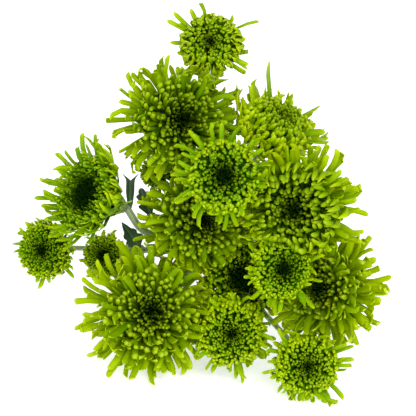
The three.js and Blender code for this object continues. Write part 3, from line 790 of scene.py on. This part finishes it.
def path_points(bloom, quills, length, outward, across):
    """The four points of each quill's path, in the bloom's own frame."""
    reach, lean, bow = bloom["reach"], quills["lean"], quills["bow"]
    sway = length * quills["sway"]
    zero = np.zeros_like(lean)

    def at(angle, far, side):
        return (outward * (np.sin(angle) * far)[:, None] + across * side[:, None]
                + UP * (np.cos(angle) * far + QUILL["rise"] * reach)[:, None])

    near, far = QUILL["handles"]
    near_sway, far_sway = QUILL["handle_sway"]
    bulge = 1 + QUILL["bulge"] * quills["hook_in"]
    return [
        at(lean, zero + QUILL["root"] * reach, zero),
        at(lean * bow, length * near, sway * near_sway),
        at(lean * (1 + bow) / 2, length * far * bulge, sway * far_sway),
        at(lean, length, sway) - outward * (quills["hook_in"] * length)[:, None],
    ]


def quill_paths(bloom, quill_form, quills, free):
    """The places, side and upper directions of each row of each quill, in the spray's frame."""
    turn = quills["turn"]
    length = bloom["reach"] * quills["share"]
    outward = np.stack([np.cos(turn), np.sin(turn), np.zeros_like(turn)], axis=-1)
    across = np.stack([-np.sin(turn), np.cos(turn), np.zeros_like(turn)], axis=-1)
    shares = quill_form.row_shares(quills["width"], length)
    places = bezier(path_points(bloom, quills, length, outward, across), shares)
    hooked = np.clip((shares - QUILL["hook_from"]) / (1 - QUILL["hook_from"]), 0, None) ** 2
    places += (hooked * (length * quills["hook_up"])[:, None])[..., None] * UP
    places += (hooked * (length * quills["hook_aside"])[:, None])[..., None] * across[:, None, :]
    places = places @ bloom["turn"].T + bloom["seat"]
    clearance = quills["width"][:, None] * QUILL["clearance"]
    if not free:
        places = pressed(bloom, places, clearance - QUILL["interleaved"])
    places = above_floor(places, clearance)
    ahead = unit(np.gradient(places, axis=1))
    over = unit(np.cross(ahead, (across @ bloom["turn"].T)[:, None, :]))
    side = np.cross(over, ahead)
    # The draw of its width also says how far and which way a quill twists.
    twist = draws(bloom, quills["number"], "width", QUILL["twist"])[:, None, None]
    twist = twist * (QUILL["twist_root"] + shares[..., None])
    return {
        "places": places,
        "shares": shares,
        "side": side * np.cos(twist) + over * np.sin(twist),
        "over": over * np.cos(twist) - side * np.sin(twist),
    }


def clear_of_stalks(bloom, places, width):
    """Which of the quills' paths run clear of the other blooms' stalks."""
    every = 8  # places of a stalk's route are close enough to test one in so many
    stalks = np.concatenate([ROUTES[other["name"]].places[::every] for other in BLOOMS if other is not bloom])
    apart = np.linalg.norm(places[:, :, None, :] - stalks, axis=-1).min(axis=(1, 2))
    return apart > width + STALK["root_radius"]


DUSK = 0.2  # how far inside the dark of the heart the colours start to rise
TINT_DRAW = 0.5  # how unequal the quills of one bloom are in tint


def add_quills(shape, bloom, quill_form, quills, fullness, free=False):
    """Lays one quill form along the paths of some quills, where no stalk is in their way.

    Free quills lie over the neighbouring blooms, and the others are pressed back by them. The marks are how
    far along the quill a corner lies, how far out the quill stands, its tint, and how far across it is.
    """
    if not len(quills["number"]):
        return
    paths = quill_paths(bloom, quill_form, quills, free)
    clear = clear_of_stalks(bloom, paths["places"], quills["width"])
    paths = some(paths, clear)
    quills = some(quills, clear)
    row = quill_form.row
    size = (quills["width"] * fullness)[:, None, None]
    corners = (paths["places"][:, row] + paths["side"][:, row] * quill_form.width[None, :, None] * size
               + paths["over"][:, row] * quill_form.depth[None, :, None] * size)
    layer = np.abs(quills["lean"]) / math.radians(bloom["spread"]) - bloom["night"]
    tint = chance(bloom["seed"] * SEEDS["tint"] + quills["number"]) * TINT_DRAW + bloom["ripe"]
    marks = np.empty((*corners.shape[:2], 4))
    # How far along is half by the share of the path and half by the row's height, which ends at 2.
    marks[..., 0] = paths["shares"][:, row] * 0.5 + quill_form.heights[row] * 0.25
    marks[..., 1] = ((layer + DUSK) / (1 + DUSK - bloom["night"])).clip(0, 1)[:, None]
    marks[..., 2] = tint[:, None]
    marks[..., 3] = quill_form.width[None, :] * 0.5 + 0.5
    shape.add(corners, quill_form.faces, marks)


# The heart's length is a share of that of the quills around it, its foot a radius and a height in reaches,
# and its clearance from the walls is in millimetres.
HEART = {"rings": 9, "sides": 18, "length": 0.50, "foot": (0.14, 0.015), "clearance": 3 * GAP}


def add_heart(shape, bloom):
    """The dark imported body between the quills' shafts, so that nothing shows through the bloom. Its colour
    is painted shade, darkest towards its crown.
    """
    count, sides = HEART["rings"], HEART["sides"]
    turns = np.arange(sides) * 2 * math.pi / sides
    profile = [HEART["foot"]]
    for ring in range(count, 0, -1):
        lean = math.radians(bloom["rim"]) * ring / count
        length = tip_share(bloom, lean) * HEART["length"]
        profile.append((math.sin(lean) * length, math.cos(lean) * length + QUILL["rise"]))
    rings = [np.stack([np.cos(turns) * radius, np.sin(turns) * radius, np.full_like(turns, height)], axis=-1)
             for radius, height in profile]
    poles = [[0, 0, tip_share(bloom, 0.0) * HEART["length"]], [0, 0, HEART["foot"][1]]]
    corners = np.concatenate([*rings, poles]) * bloom["reach"]
    corners = pressed(bloom, corners @ bloom["turn"].T + bloom["seat"], HEART["clearance"])
    faces = tube_faces(len(rings), sides)
    last = (len(rings) - 1) * sides
    crown = len(rings) * sides
    for i in range(sides):
        j = (i + 1) % sides
        faces.append([last + i, last + j, crown])
        faces.append([j, i, crown + 1])
    green = np.concatenate([[1.0], np.linspace(0.9, 0.1, count)])  # from the foot to the crown
    marks = np.zeros((len(corners), 4))
    marks[:, 1] = np.concatenate([np.repeat(green, sides), [0.0, 1.0]])
    # It counts as half way along a quill at its foot, and as ever less of the way towards the crown, so that
    # it takes on ever more of the roots' painted shade.
    marks[:, 0] = marks[:, 1] ** 3 * 0.5
    marks[:, 3] = 0.5
    shape.add(corners, faces, marks)


STREAKS = 34  # radians of the wave of streaks that run along a quill, from one side of it to the other


def petal_finish(settings):
    """Satin green quills: dark at the heart, which is partly their own dark green and partly painted shade,
    with painted shade at the roots, and yellow-green at the tips with a painted highlight at their ends.
    """
    finish = Finish("quill_green")
    along, layer, tint, across = finish.marks()
    blotch = finish.noise(scale=260, detail=2)
    grain = finish.noise(scale=900, detail=3)
    streak = (across * STREAKS).sine() * 0.5 + 0.5
    ripe = finish.graded(layer, (0.0, 0), (0.05, 0.015), (0.12, 0.12), (0.22, 0.44), (0.45, 0.82), (0.7, 1))
    risen = finish.graded(along, (0.1, 0), (0.55, 0.8), (1.0, 1))
    tipped = finish.graded(along, (0.4, 0), (0.72, 0.35), (0.96, 1))
    painted_highlight_end = finish.graded(along, (0.84, 0), (1.0, 0.7))
    outer = finish.graded(layer, (0.5, 0), (0.85, 1))
    # Tips are lighter, partly their own yellow-green and partly painted highlight, and so are outer quills
    # past their roots, ripe quills and blotches.
    lightness = (tipped * 0.54 + outer * risen * 0.54 + tint * 0.26 + blotch * 0.26 - 0.26).clamped()
    # Quills are darkened towards their roots: painted shade where they crowd together.
    shade = finish.mixed(risen, settings.root, settings.blade)
    shade = finish.mixed(((0.45 - tint) * 1.1).clamped(), shade, settings.young)
    shade = finish.mixed(lightness, shade, settings.tip)
    # The very ends of the tips are paled: a painted highlight.
    shade = finish.mixed((painted_highlight_end * (tint * 0.42 + 0.12)).clamped(), shade, settings.pale)
    shade = finish.mixed(streak * 0.15, shade, settings.root)
    # Quills near the middle are darkened to the heart's colour: partly their own dark green, partly painted
    # shade of the deep middle.
    shade = finish.mixed(ripe, settings.heart, shade)
    finish.set(Base_Color=shade, Roughness=(blotch * 0.2 + 0.86 - ripe * 0.46).clamped(),
               Normal=finish.bump(strength=0.2, distance=0.0002, height=streak * 0.6 + grain),
               Coat_Weight=(tipped * ripe * 0.12).clamped(), Coat_Roughness=0.22,
               Subsurface_Weight=0.10, Subsurface_Scale=0.002, Subsurface_Radius=(0.6, 1.0, 0.1),
               Specular_IOR_Level=0.12, Specular_Tint=(0.80, 1.0, 0.15, 1.0))
    return finish.material


class CHRYSANTHEMUM_OT_blooms(bpy.types.Operator):
    """Grow the sixteen blooms with all their quills"""

    bl_idname = "chrysanthemum.blooms"
    bl_label = "Grow blooms"

    def execute(self, context):
        settings = context.scene.chrysanthemum_blooms
        finish = petal_finish(settings)
        strap = QuillForm(STRAP_ROWS, tip_length=3.1, groove=GROOVE)
        notched = QuillForm(NOTCHED_ROWS, tip_length=1.9, groove=GROOVE, notch=NOTCH)
        club = QuillForm(CLUB_ROWS, tip_length=2.6)
        bead = QuillForm(BEAD_ROWS, tip_length=1.6)
        for bloom in BLOOMS:
            shape = Shape()
            add_heart(shape, bloom)
            outer = outer_quills(bloom)
            is_notched = chance(outer["number"] * 3 + bloom["seed"]) < NOTCHED_SHARE
            inner = inner_quills(bloom)
            is_bead = inner["lean"] < bloom["bead_lean"]
            is_strap = inner["lean"] > bloom["strap_lean"]
            for quill_form, quills, chosen in [
                (strap, outer, ~is_notched),
                (notched, outer, is_notched),
                (strap, inner, is_strap),
                (club, inner, ~is_bead & ~is_strap),
                (bead, inner, is_bead),
            ]:
                add_quills(shape, bloom, quill_form, some(quills, chosen), settings.fullness)
            if bloom["singles"]:
                add_quills(shape, bloom, strap, single_quills(bloom), settings.fullness, free=True)
            shape.piece(bloom["name"] + "_florets", finish, "petal", bloom["name"])
        return {"FINISHED"}


# ---------------- stem

CUT_RINGS = [0.2, 0.45, 0.66, 0.74, 0.94]  # the rings of the stem's cut end, as shares of its radius
PITH = [1.0, 0.95, 0.9, 0.45, 0.35]  # how pale each of them is
RINGS = {"stem": 40, "stalk": 26}  # along the stem, and along a stalk below its cup
STEM_RIDGES = (7, 0.06)  # how many, and how high, as a share of the radius
STALK_RIDGES = (5, 0.07)
# How a stalk swells where it leaves its carrier: by some millimetres, over a share of its length.
FLARE = {"radius": 0.9, "share": 0.03}
CUP_RINGS = [0.15, 0.35, 0.6, 0.8, 0.95, 1]  # shares of the way up the cup
CUP_RADIUS = 0.86  # the share of the cup's radius that the stalk swells to, under the bracts
CUP_SWELL = 1.3  # the power by which it swells, and more keeps it slim for longer
CUP_GREEN = (0.02, 0.5)  # the shares of the way up it over which the skin turns to the bracts' green
# Hairs: how many for each millimetre of a stalk, their length, width and depth in the skin in millimetres,
# and the least of that length with what is drawn on top of it, as shares of it.
DOWN = {"per_mm": 9, "length": 0.6, "width": 0.09, "sunk": 0.12, "least": 0.6, "length_draw": 0.8}
# The bracts stand in rows up the cup. A pair is the measure of the lowest row and its change per row.
# Radii are shares of the cup's, and feet and lengths are shares of its depth.
BRACT = {"rows": 3, "in_row": 12, "radius": (0.62, 0.19), "foot": (0.9, -0.28), "flare": (0.35, 0.1),
         "overlap": 1.3, "seated": 0.96, "thickness": 0.06, "hollow": 0.12,
         "length": 0.72, "length_draw": 0.2, "turn_draw": 0.1}


def frames_along(ahead):
    """Side and upper directions that are carried along a route without twisting, for its directions."""
    start = np.cross(ahead[0], [0, 1, 0])
    side = unit(start if np.linalg.norm(start) > 0.1 else np.cross(ahead[0], [1, 0, 0]))
    sides = []
    for direction in ahead:
        side = unit(side - direction * (side @ direction))
        sides.append(side)
    sides = np.array(sides)
    return sides, np.cross(ahead, sides)


def any_sides(ahead):
    """Two directions at right angles to each of some directions and to each other."""
    reference = np.where(np.abs(ahead[:, :1]) < 0.7, [[1.0, 0, 0]], [[0, 1.0, 0]])
    side = unit(np.cross(ahead, reference))
    return side, np.cross(ahead, side)


def add_tube(shape, route, shares, radii, sides, ridges, marks):
    """A closed tube along a route with ridges along it. marks: (cup, ridge, cut, along) per ring."""
    count, height = ridges
    side, over = frames_along(route.towards(shares))
    turns = np.arange(sides) * 2 * math.pi / sides
    wave = np.cos(turns * count)
    radius = radii[:, None] * (1 + height * wave)[None, :]
    corners = (route.at(shares)[:, None, :] + side[:, None, :] * (np.cos(turns) * radius)[..., None]
               + over[:, None, :] * (np.sin(turns) * radius)[..., None])
    rows = len(shares)
    mark = np.repeat(marks[:, None, :], sides, axis=1)
    mark[..., 1] = wave * 0.5 + 0.5
    faces = tube_faces(rows, sides)
    faces.append(list(range(sides))[::-1])
    faces.append([(rows - 1) * sides + i for i in range(sides)])
    shape.add(corners.reshape(-1, 3), faces, mark)


def stem_finish(settings):
    """Grey-green downy skin with paler ridges, and yellower bracts."""
    finish = Finish("stalk_skin")
    cup, ridge, cut, along = finish.marks()
    blotch = finish.noise(scale=180, detail=3)
    fibre = finish.noise(scale=1500, detail=2)
    skin = finish.mixed((ridge * 0.7 + blotch * 0.5 - 0.1).clamped(), settings.furrow, settings.skin)
    green = finish.mixed((along * 0.8 + blotch * 0.2).clamped(), settings.clasp, settings.bract)
    shade = finish.mixed(cup, skin, green)
    shade = finish.mixed((cut * (1.1 - fibre * 0.4)).clamped(), shade, settings.pith)
    finish.set(Base_Color=shade, Roughness=0.75 - blotch * 0.15,
               Normal=finish.bump(strength=0.35, distance=0.0003, height=fibre + blotch * 0.5),
               Sheen_Weight=0.12, Sheen_Roughness=0.4, Specular_IOR_Level=0.3)
    return finish.material


def hair_form():
    """A hair: a three-sided spike, 1 long and 1 wide, drawn to a point."""
    start_clean()
    bpy.ops.mesh.primitive_cone_add(vertices=3, radius1=0.5, radius2=0, depth=1, end_fill_type="NGON",
                                    location=(0, 0, 0.5))
    bpy.ops.object.transform_apply(location=True, rotation=True, scale=True)
    return taken(bpy.context.object)


def add_down(shape, route, shares, radii, seed, form):
    """Fine hairs that stand on a stretch of a route, each with its own lean and length."""
    corners, faces = form
    covered = shares[-1] - shares[0]
    count = int(route.length * covered * DOWN["per_mm"])
    number = np.arange(count) + seed * SEEDS["hair"]
    along = shares[0] + covered * chance(number)
    turn = 2 * math.pi * chance(number * 3 + 1)
    ahead = route.towards(along)
    side, over = any_sides(ahead)
    outward = side * np.cos(turn)[:, None] + over * np.sin(turn)[:, None]
    across = np.cross(ahead, outward)
    points = unit(outward + ahead * (chance(number * 5 + 2) - 0.5)[:, None])
    third = np.cross(points, across)
    root = route.at(along) + outward * (np.interp(along, shares, radii) - DOWN["sunk"])[:, None]
    length = DOWN["length"] * (DOWN["least"] + DOWN["length_draw"] * chance(number * 7 + 3))
    spread = corners[None, :, :1] * across[:, None, :] + corners[None, :, 1:2] * third[:, None, :]
    rise = points[:, None, :] * (corners[None, :, 2:] * length[:, None, None])
    marks = np.zeros((count, len(corners), 4))
    marks[..., 1] = 1
    shape.add(root[:, None, :] + spread * DOWN["width"] + rise, faces, marks)


def bract_form():
    """A pointed scale, 1 wide and 1 long, hollow towards what it clasps, from a grid that is made solid."""
    start_clean()
    bpy.ops.mesh.primitive_grid_add(x_subdivisions=2, y_subdivisions=4, size=1, location=(0, 0, 0))
    made = bpy.context.object
    # Its outline comes from a sine: blunt at the root, wide up to the middle and narrow at the tip.
    for vertex in made.data.vertices:
        share = vertex.co.y + 0.5
        half = math.sin(math.pi * (0.22 + 0.72 * share)) ** 0.8
        side = vertex.co.x * 2
        vertex.co = (side * half * 0.5, share, (1 - abs(side)) * BRACT["hollow"] * half)
    thicken = made.modifiers.new("thickness", "SOLIDIFY")
    thicken.thickness = BRACT["thickness"]
    thicken.offset = 0
    bpy.ops.object.modifier_apply(modifier=thicken.name)
    return taken(made)


def add_bracts(shape, bloom, form):
    """Rows of bracts that clasp the cup under a bloom."""
    corners, faces = form
    cup = CUP["radius"] * bloom["reach"]
    depth = CUP["depth"] * bloom["reach"]
    count = BRACT["in_row"]
    marks = np.zeros((len(corners), 4))
    marks[:, 0] = 1
    marks[:, 1] = 0.5
    marks[:, 3] = corners[:, 1]
    for row in range(BRACT["rows"]):
        size, foot, flare = (BRACT[key][0] + BRACT[key][1] * row for key in ("radius", "foot", "flare"))
        radius = cup * size
        width = 2 * math.pi * radius / count * BRACT["overlap"]
        for i in range(count):
            turned = BRACT["turn_draw"] * chance(bloom["seed"] * SEEDS["bract_turn"] + i)
            longer = BRACT["length_draw"] * chance(bloom["seed"] * SEEDS["bract_length"] + i + row * 20)
            turn = (i + row * 0.5) * 2 * math.pi / count + turned
            length = depth * (BRACT["length"] + longer)
            outward = np.array([math.cos(turn), math.sin(turn), 0])
            across = np.array([-math.sin(turn), math.cos(turn), 0])
            along = unit(UP + outward * flare)
            facing = np.cross(across, along)
            placed = (outward * radius * BRACT["seated"] - UP * depth * foot
                      + across * (corners[:, :1] * width) + along * (corners[:, 1:2] * length)
                      + facing * (corners[:, 2:] * width))
            shape.add(placed @ bloom["turn"].T + bloom["seat"], faces, marks)


def neck_of(bloom):
    """The share of a stalk's length at which its cup begins."""
    return 1 - CUP["depth"] * bloom["reach"] / ROUTES[bloom["name"]].length


def stalk_radius(bloom, share):
    """The radius of a bloom's stalk below its cup, in millimetres: it slims over the middle third."""
    slimming = np.clip(3 * share / neck_of(bloom) - 1, 0, 1)
    slim = STALK["root_radius"] + (STALK["neck_radius"] - STALK["root_radius"]) * slimming
    return slim * bloom["stout"]


def add_stalk(shape, bloom, sides, hair):
    """A downy stalk that swells into the cup of its bloom."""
    route = ROUTES[bloom["name"]]
    neck = neck_of(bloom)
    below_cup = np.linspace(0, neck, RINGS["stalk"])
    shares = np.concatenate([below_cup, neck + (1 - neck) * np.array(CUP_RINGS)])
    slim = stalk_radius(bloom, shares)
    flare = FLARE["radius"] * np.exp(-(shares / FLARE["share"]) ** 2)
    rise = np.clip((shares - neck) / (1 - neck), 0, 1)
    cup = CUP["radius"] * bloom["reach"] * CUP_RADIUS
    radii = slim + flare + (cup - slim[-1]) * np.sin(rise * math.pi / 2) ** CUP_SWELL
    marks = np.zeros((len(shares), 4))
    marks[:, 0] = ramp(rise, *CUP_GREEN)
    marks[:, 3] = rise
    add_tube(shape, route, shares, radii, sides, STALK_RIDGES, marks)
    add_down(shape, route, below_cup, radii[:len(below_cup)], bloom["seed"], hair)


class CHRYSANTHEMUM_OT_stem(bpy.types.Operator):
    """Grow the main stem, its stalks and the bracts under the blooms"""

    bl_idname = "chrysanthemum.stem"
    bl_label = "Grow stem"

    def execute(self, context):
        settings = context.scene.chrysanthemum_stem
        route = ROUTES["stem"]
        shape = Shape()
        end = len(CUT_RINGS)
        shares = np.concatenate([np.zeros(end), np.linspace(0, 1, RINGS["stem"])])
        radii = STEM["cut_radius"] + (STEM["crown_radius"] - STEM["cut_radius"]) * shares
        radii[:end] *= CUT_RINGS
        marks = np.zeros((len(shares), 4))
        marks[:end, 2] = PITH
        marks[:, 3] = shares
        add_tube(shape, route, shares, radii, settings.sides, STEM_RIDGES, marks)
        hair = hair_form()
        add_down(shape, route, shares, radii, 0, hair)
        bract = bract_form()
        for bloom in BLOOMS:
            add_stalk(shape, bloom, settings.sides, hair)
            add_bracts(shape, bloom, bract)
        shape.piece("stem_and_bracts", stem_finish(settings), "stem", "stem")
        return {"FINISHED"}


# ---------------- leaves

ACROSS = 24  # faces from one edge of a leaf to the other
ALONG = 72  # faces from its root to its tip
# Side veins: how many pairs, how far each one slants forward in spaces, how thin it is, and the share of the
# length where they start. The middle vein fades between two distances, and veins are sunk by a depth, both
# in millimetres.
VEINS = {"pairs": 7, "slant": 0.8, "thin": 0.86, "from": 0.15, "middle": (0.25, 0.7), "sunk": 0.12}


def leaf_finish(settings):
    """Matt dark green with paler veins, greyer beneath."""
    finish = Finish("leaf_green")
    vein, under, tint, along = finish.marks()
    blotch = finish.noise(scale=120, detail=4)
    net = finish.node("TexVoronoi", {"feature": "DISTANCE_TO_EDGE"}, {"Scale": 700.0}, "Distance")
    fine = (1 - net * 9).clamped()
    paler = (vein + fine * 0.18 + blotch * 0.12 + tint * 0.05).clamped()
    shade = finish.mixed(paler, settings.blade, settings.vein)
    shade = finish.mixed(under, shade, settings.underside)
    height = blotch - fine * 0.5 - vein + along * 0.05
    finish.set(Base_Color=shade, Roughness=0.62 - blotch * 0.15, Specular_IOR_Level=0.35,
               Normal=finish.bump(strength=0.5, distance=0.0003, height=height))
    return finish.material


def leaf_frame(leaf):
    """Where a leaf is rooted, its directions across, ahead and upwards, and its length."""
    route = ROUTES[leaf["stalk"]]
    tip = np.array(leaf["tip"], float)
    node = route.at(leaf["at"])
    grain = route.towards(leaf["at"])
    away = tip - node
    away = unit(away - grain * (away @ grain))
    carriers = [bloom for bloom in BLOOMS if bloom["name"] == leaf["stalk"]]
    bark = stalk_radius(carriers[0], leaf["at"]) if carriers else STEM["cut_radius"]
    root = node + away * (bark - leaf["sunk"])
    ahead = unit(tip - root)
    facing = unit(UP - ahead * ahead[2])
    return root, (np.cross(ahead, facing), ahead, facing), np.linalg.norm(tip - root)


def leaf_veins(share, side, reach):
    """How much of a vein lies at each place of a leaf, from 0 to 1."""
    wave = np.abs(((share * VEINS["pairs"] - np.abs(side) * VEINS["slant"]) % 1) - 0.5) * 2
    side_veins = ramp(wave, VEINS["thin"], 1) * (1 - np.abs(side)) * (share > VEINS["from"])
    return np.maximum(1 - ramp(reach, *VEINS["middle"]), side_veins)


def leaf_shape(leaf, thickness):
    """One leaf: a grid that is cut to a lobed, toothed outline, veined, folded and given its thickness."""
    root, (across, ahead, facing), length = leaf_frame(leaf)
    share, side = np.meshgrid(np.linspace(0, 1, ALONG + 1), np.linspace(-1, 1, ACROSS + 1), indexing="ij")
    outline = np.array(leaf["outline"])
    half = np.interp(share, outline[:, 0], outline[:, 1]) * leaf["width"] / 2
    reach = np.abs(side) * half
    vein = leaf_veins(share, side, reach)
    forward = share * length + reach * leaf["sweep"]
    rise = reach * leaf["fold"] + np.sin(math.pi * share) * length * leaf["arch"] - vein * VEINS["sunk"]
    middle = root + across * (side * half)[..., None] + ahead * forward[..., None] + facing * rise[..., None]
    lift = facing * thickness / MM / 2
    rib = leaf["rib"] * (1 - share) ** 2 * (1 - ramp(reach, 0, leaf["rib_reach"]))
    corners = np.stack([middle + lift, middle - lift - facing * rib[..., None]])
    marks = np.zeros((*corners.shape[:-1], 4))
    marks[..., 0] = vein
    marks[1, ..., 1] = 1
    marks[..., 2] = chance(leaf["width"])
    marks[..., 3] = share
    shape = Shape()
    shape.add(corners.reshape(-1, 3), sheet_faces(*share.shape), marks)
    return shape


class CHRYSANTHEMUM_OT_leaves(bpy.types.Operator):
    """Grow the lobed leaves"""

    bl_idname = "chrysanthemum.leaves"
    bl_label = "Grow leaves"

    def execute(self, context):
        settings = context.scene.chrysanthemum_leaves
        finish = leaf_finish(settings)
        for leaf in LEAVES:
            shape = leaf_shape({**LEAF, **leaf}, settings.thickness)
            shape.piece(leaf["name"] + "_blade", finish, "leaf", leaf["name"])
        return {"FINISHED"}


# ---------------- stage

LOOKED_AT = (0, 24.44, 65)  # the middle of the picture, in the spray's frame
SENSOR_MM = 36
# Each light: its name, place and size in metres, and its power as a share of the key light's.
LIGHTS = [("key_light", (0.5, -1.2, 1.3), 0.9, 1.0), ("fill_light", (-1.0, -1.0, 0.9), 1.2, 0.4)]
FLOOR = {"size": 12, "middle": (0, 3, 0), "glow": 0.45}
SKY = 0.8  # strength of the light from all around


def add_light(name, place, size, power):
    """A square soft light that faces the blooms."""
    light = bpy.data.lights.new(name, "AREA")
    light.size = size
    light.energy = power
    lamp = bpy.data.objects.new(name, light)
    lamp.location = place
    lamp.rotation_euler = (Vector(laid(LOOKED_AT)) - Vector(place)).to_track_quat("-Z", "Y").to_euler()
    bpy.context.scene.collection.objects.link(lamp)


def add_camera(settings):
    """Looks down on the blooms along the spray's own axis, with its long side level with the spray's."""
    data = bpy.data.cameras.new("camera")
    data.lens = settings.lens
    data.sensor_width = SENSOR_MM
    data.clip_end = 20
    camera = bpy.data.objects.new("camera", data)
    distance = settings.picture * settings.lens / SENSOR_MM
    place = Vector(laid(LOOKED_AT)) + LAID_TURN @ Vector((0, 0, distance))
    camera.matrix_world = Matrix.Translation(place) @ LAID_TURN.to_4x4()
    bpy.context.scene.collection.objects.link(camera)
    bpy.context.scene.camera = camera


def add_floor(settings):
    """A wide pale floor that glows a little, so that it stays white behind the spray."""
    start_clean()
    bpy.ops.mesh.primitive_plane_add(size=FLOOR["size"], location=FLOOR["middle"])
    floor = bpy.context.object
    floor.name = "floor"
    finish = Finish("floor_white")
    finish.set(Base_Color=opaque(settings.floor), Roughness=0.9, Emission_Color=(1, 1, 1, 1),
               Emission_Strength=FLOOR["glow"])
    floor.data.materials.append(finish.material)


class CHRYSANTHEMUM_OT_stage(bpy.types.Operator):
    """Set the floor, the lights and the camera"""

    bl_idname = "chrysanthemum.stage"
    bl_label = "Set the stage"

    def execute(self, context):
        settings = context.scene.chrysanthemum_stage
        add_floor(settings)
        for name, place, size, share in LIGHTS:
            add_light(name, place, size, settings.key * share)
        world = bpy.data.worlds.new("pale_room")
        world.use_nodes = True
        background = world.node_tree.nodes["Background"]
        background.inputs["Color"].default_value = (1, 1, 1, 1)
        background.inputs["Strength"].default_value = SKY
        context.scene.world = world
        context.scene.view_settings.view_transform = "Standard"
        add_camera(settings)
        return {"FINISHED"}


# ---------------- panel and registration

GROUPS = {
    "chrysanthemum_blooms": BloomSettings,
    "chrysanthemum_stem": StemSettings,
    "chrysanthemum_leaves": LeafSettings,
    "chrysanthemum_stage": StageSettings,
}


class CHRYSANTHEMUM_PT_panel(bpy.types.Panel):
    """The buttons that grow the spray, with the sizes and colours that each one uses"""

    bl_label = "Chrysanthemum spray"
    bl_idname = "CHRYSANTHEMUM_PT_panel"
    bl_space_type = "VIEW_3D"
    bl_region_type = "UI"
    bl_category = "Chrysanthemum"

    def draw(self, context):
        for settings in GROUPS:
            box = self.layout.box()
            group = getattr(context.scene, settings)
            for name in group.bl_rna.properties.keys():
                if name not in {"rna_type", "name"}:
                    box.prop(group, name)
            box.operator(settings.replace("_", ".", 1))


CLASSES = [
    *GROUPS.values(),
    CHRYSANTHEMUM_OT_blooms,
    CHRYSANTHEMUM_OT_stem,
    CHRYSANTHEMUM_OT_leaves,
    CHRYSANTHEMUM_OT_stage,
    CHRYSANTHEMUM_PT_panel,
]


def register():
    for cls in CLASSES:
        bpy.utils.register_class(cls)
    for name, group in GROUPS.items():
        setattr(bpy.types.Scene, name, PointerProperty(type=group))


def unregister():
    for name in GROUPS:
        delattr(bpy.types.Scene, name)
    for cls in reversed(CLASSES):
        bpy.utils.unregister_class(cls)


def main():
    register()
    bpy.ops.chrysanthemum.stem()
    bpy.ops.chrysanthemum.leaves()
    bpy.ops.chrysanthemum.blooms()
    bpy.ops.chrysanthemum.stage()


if __name__ == "__main__":
    main()
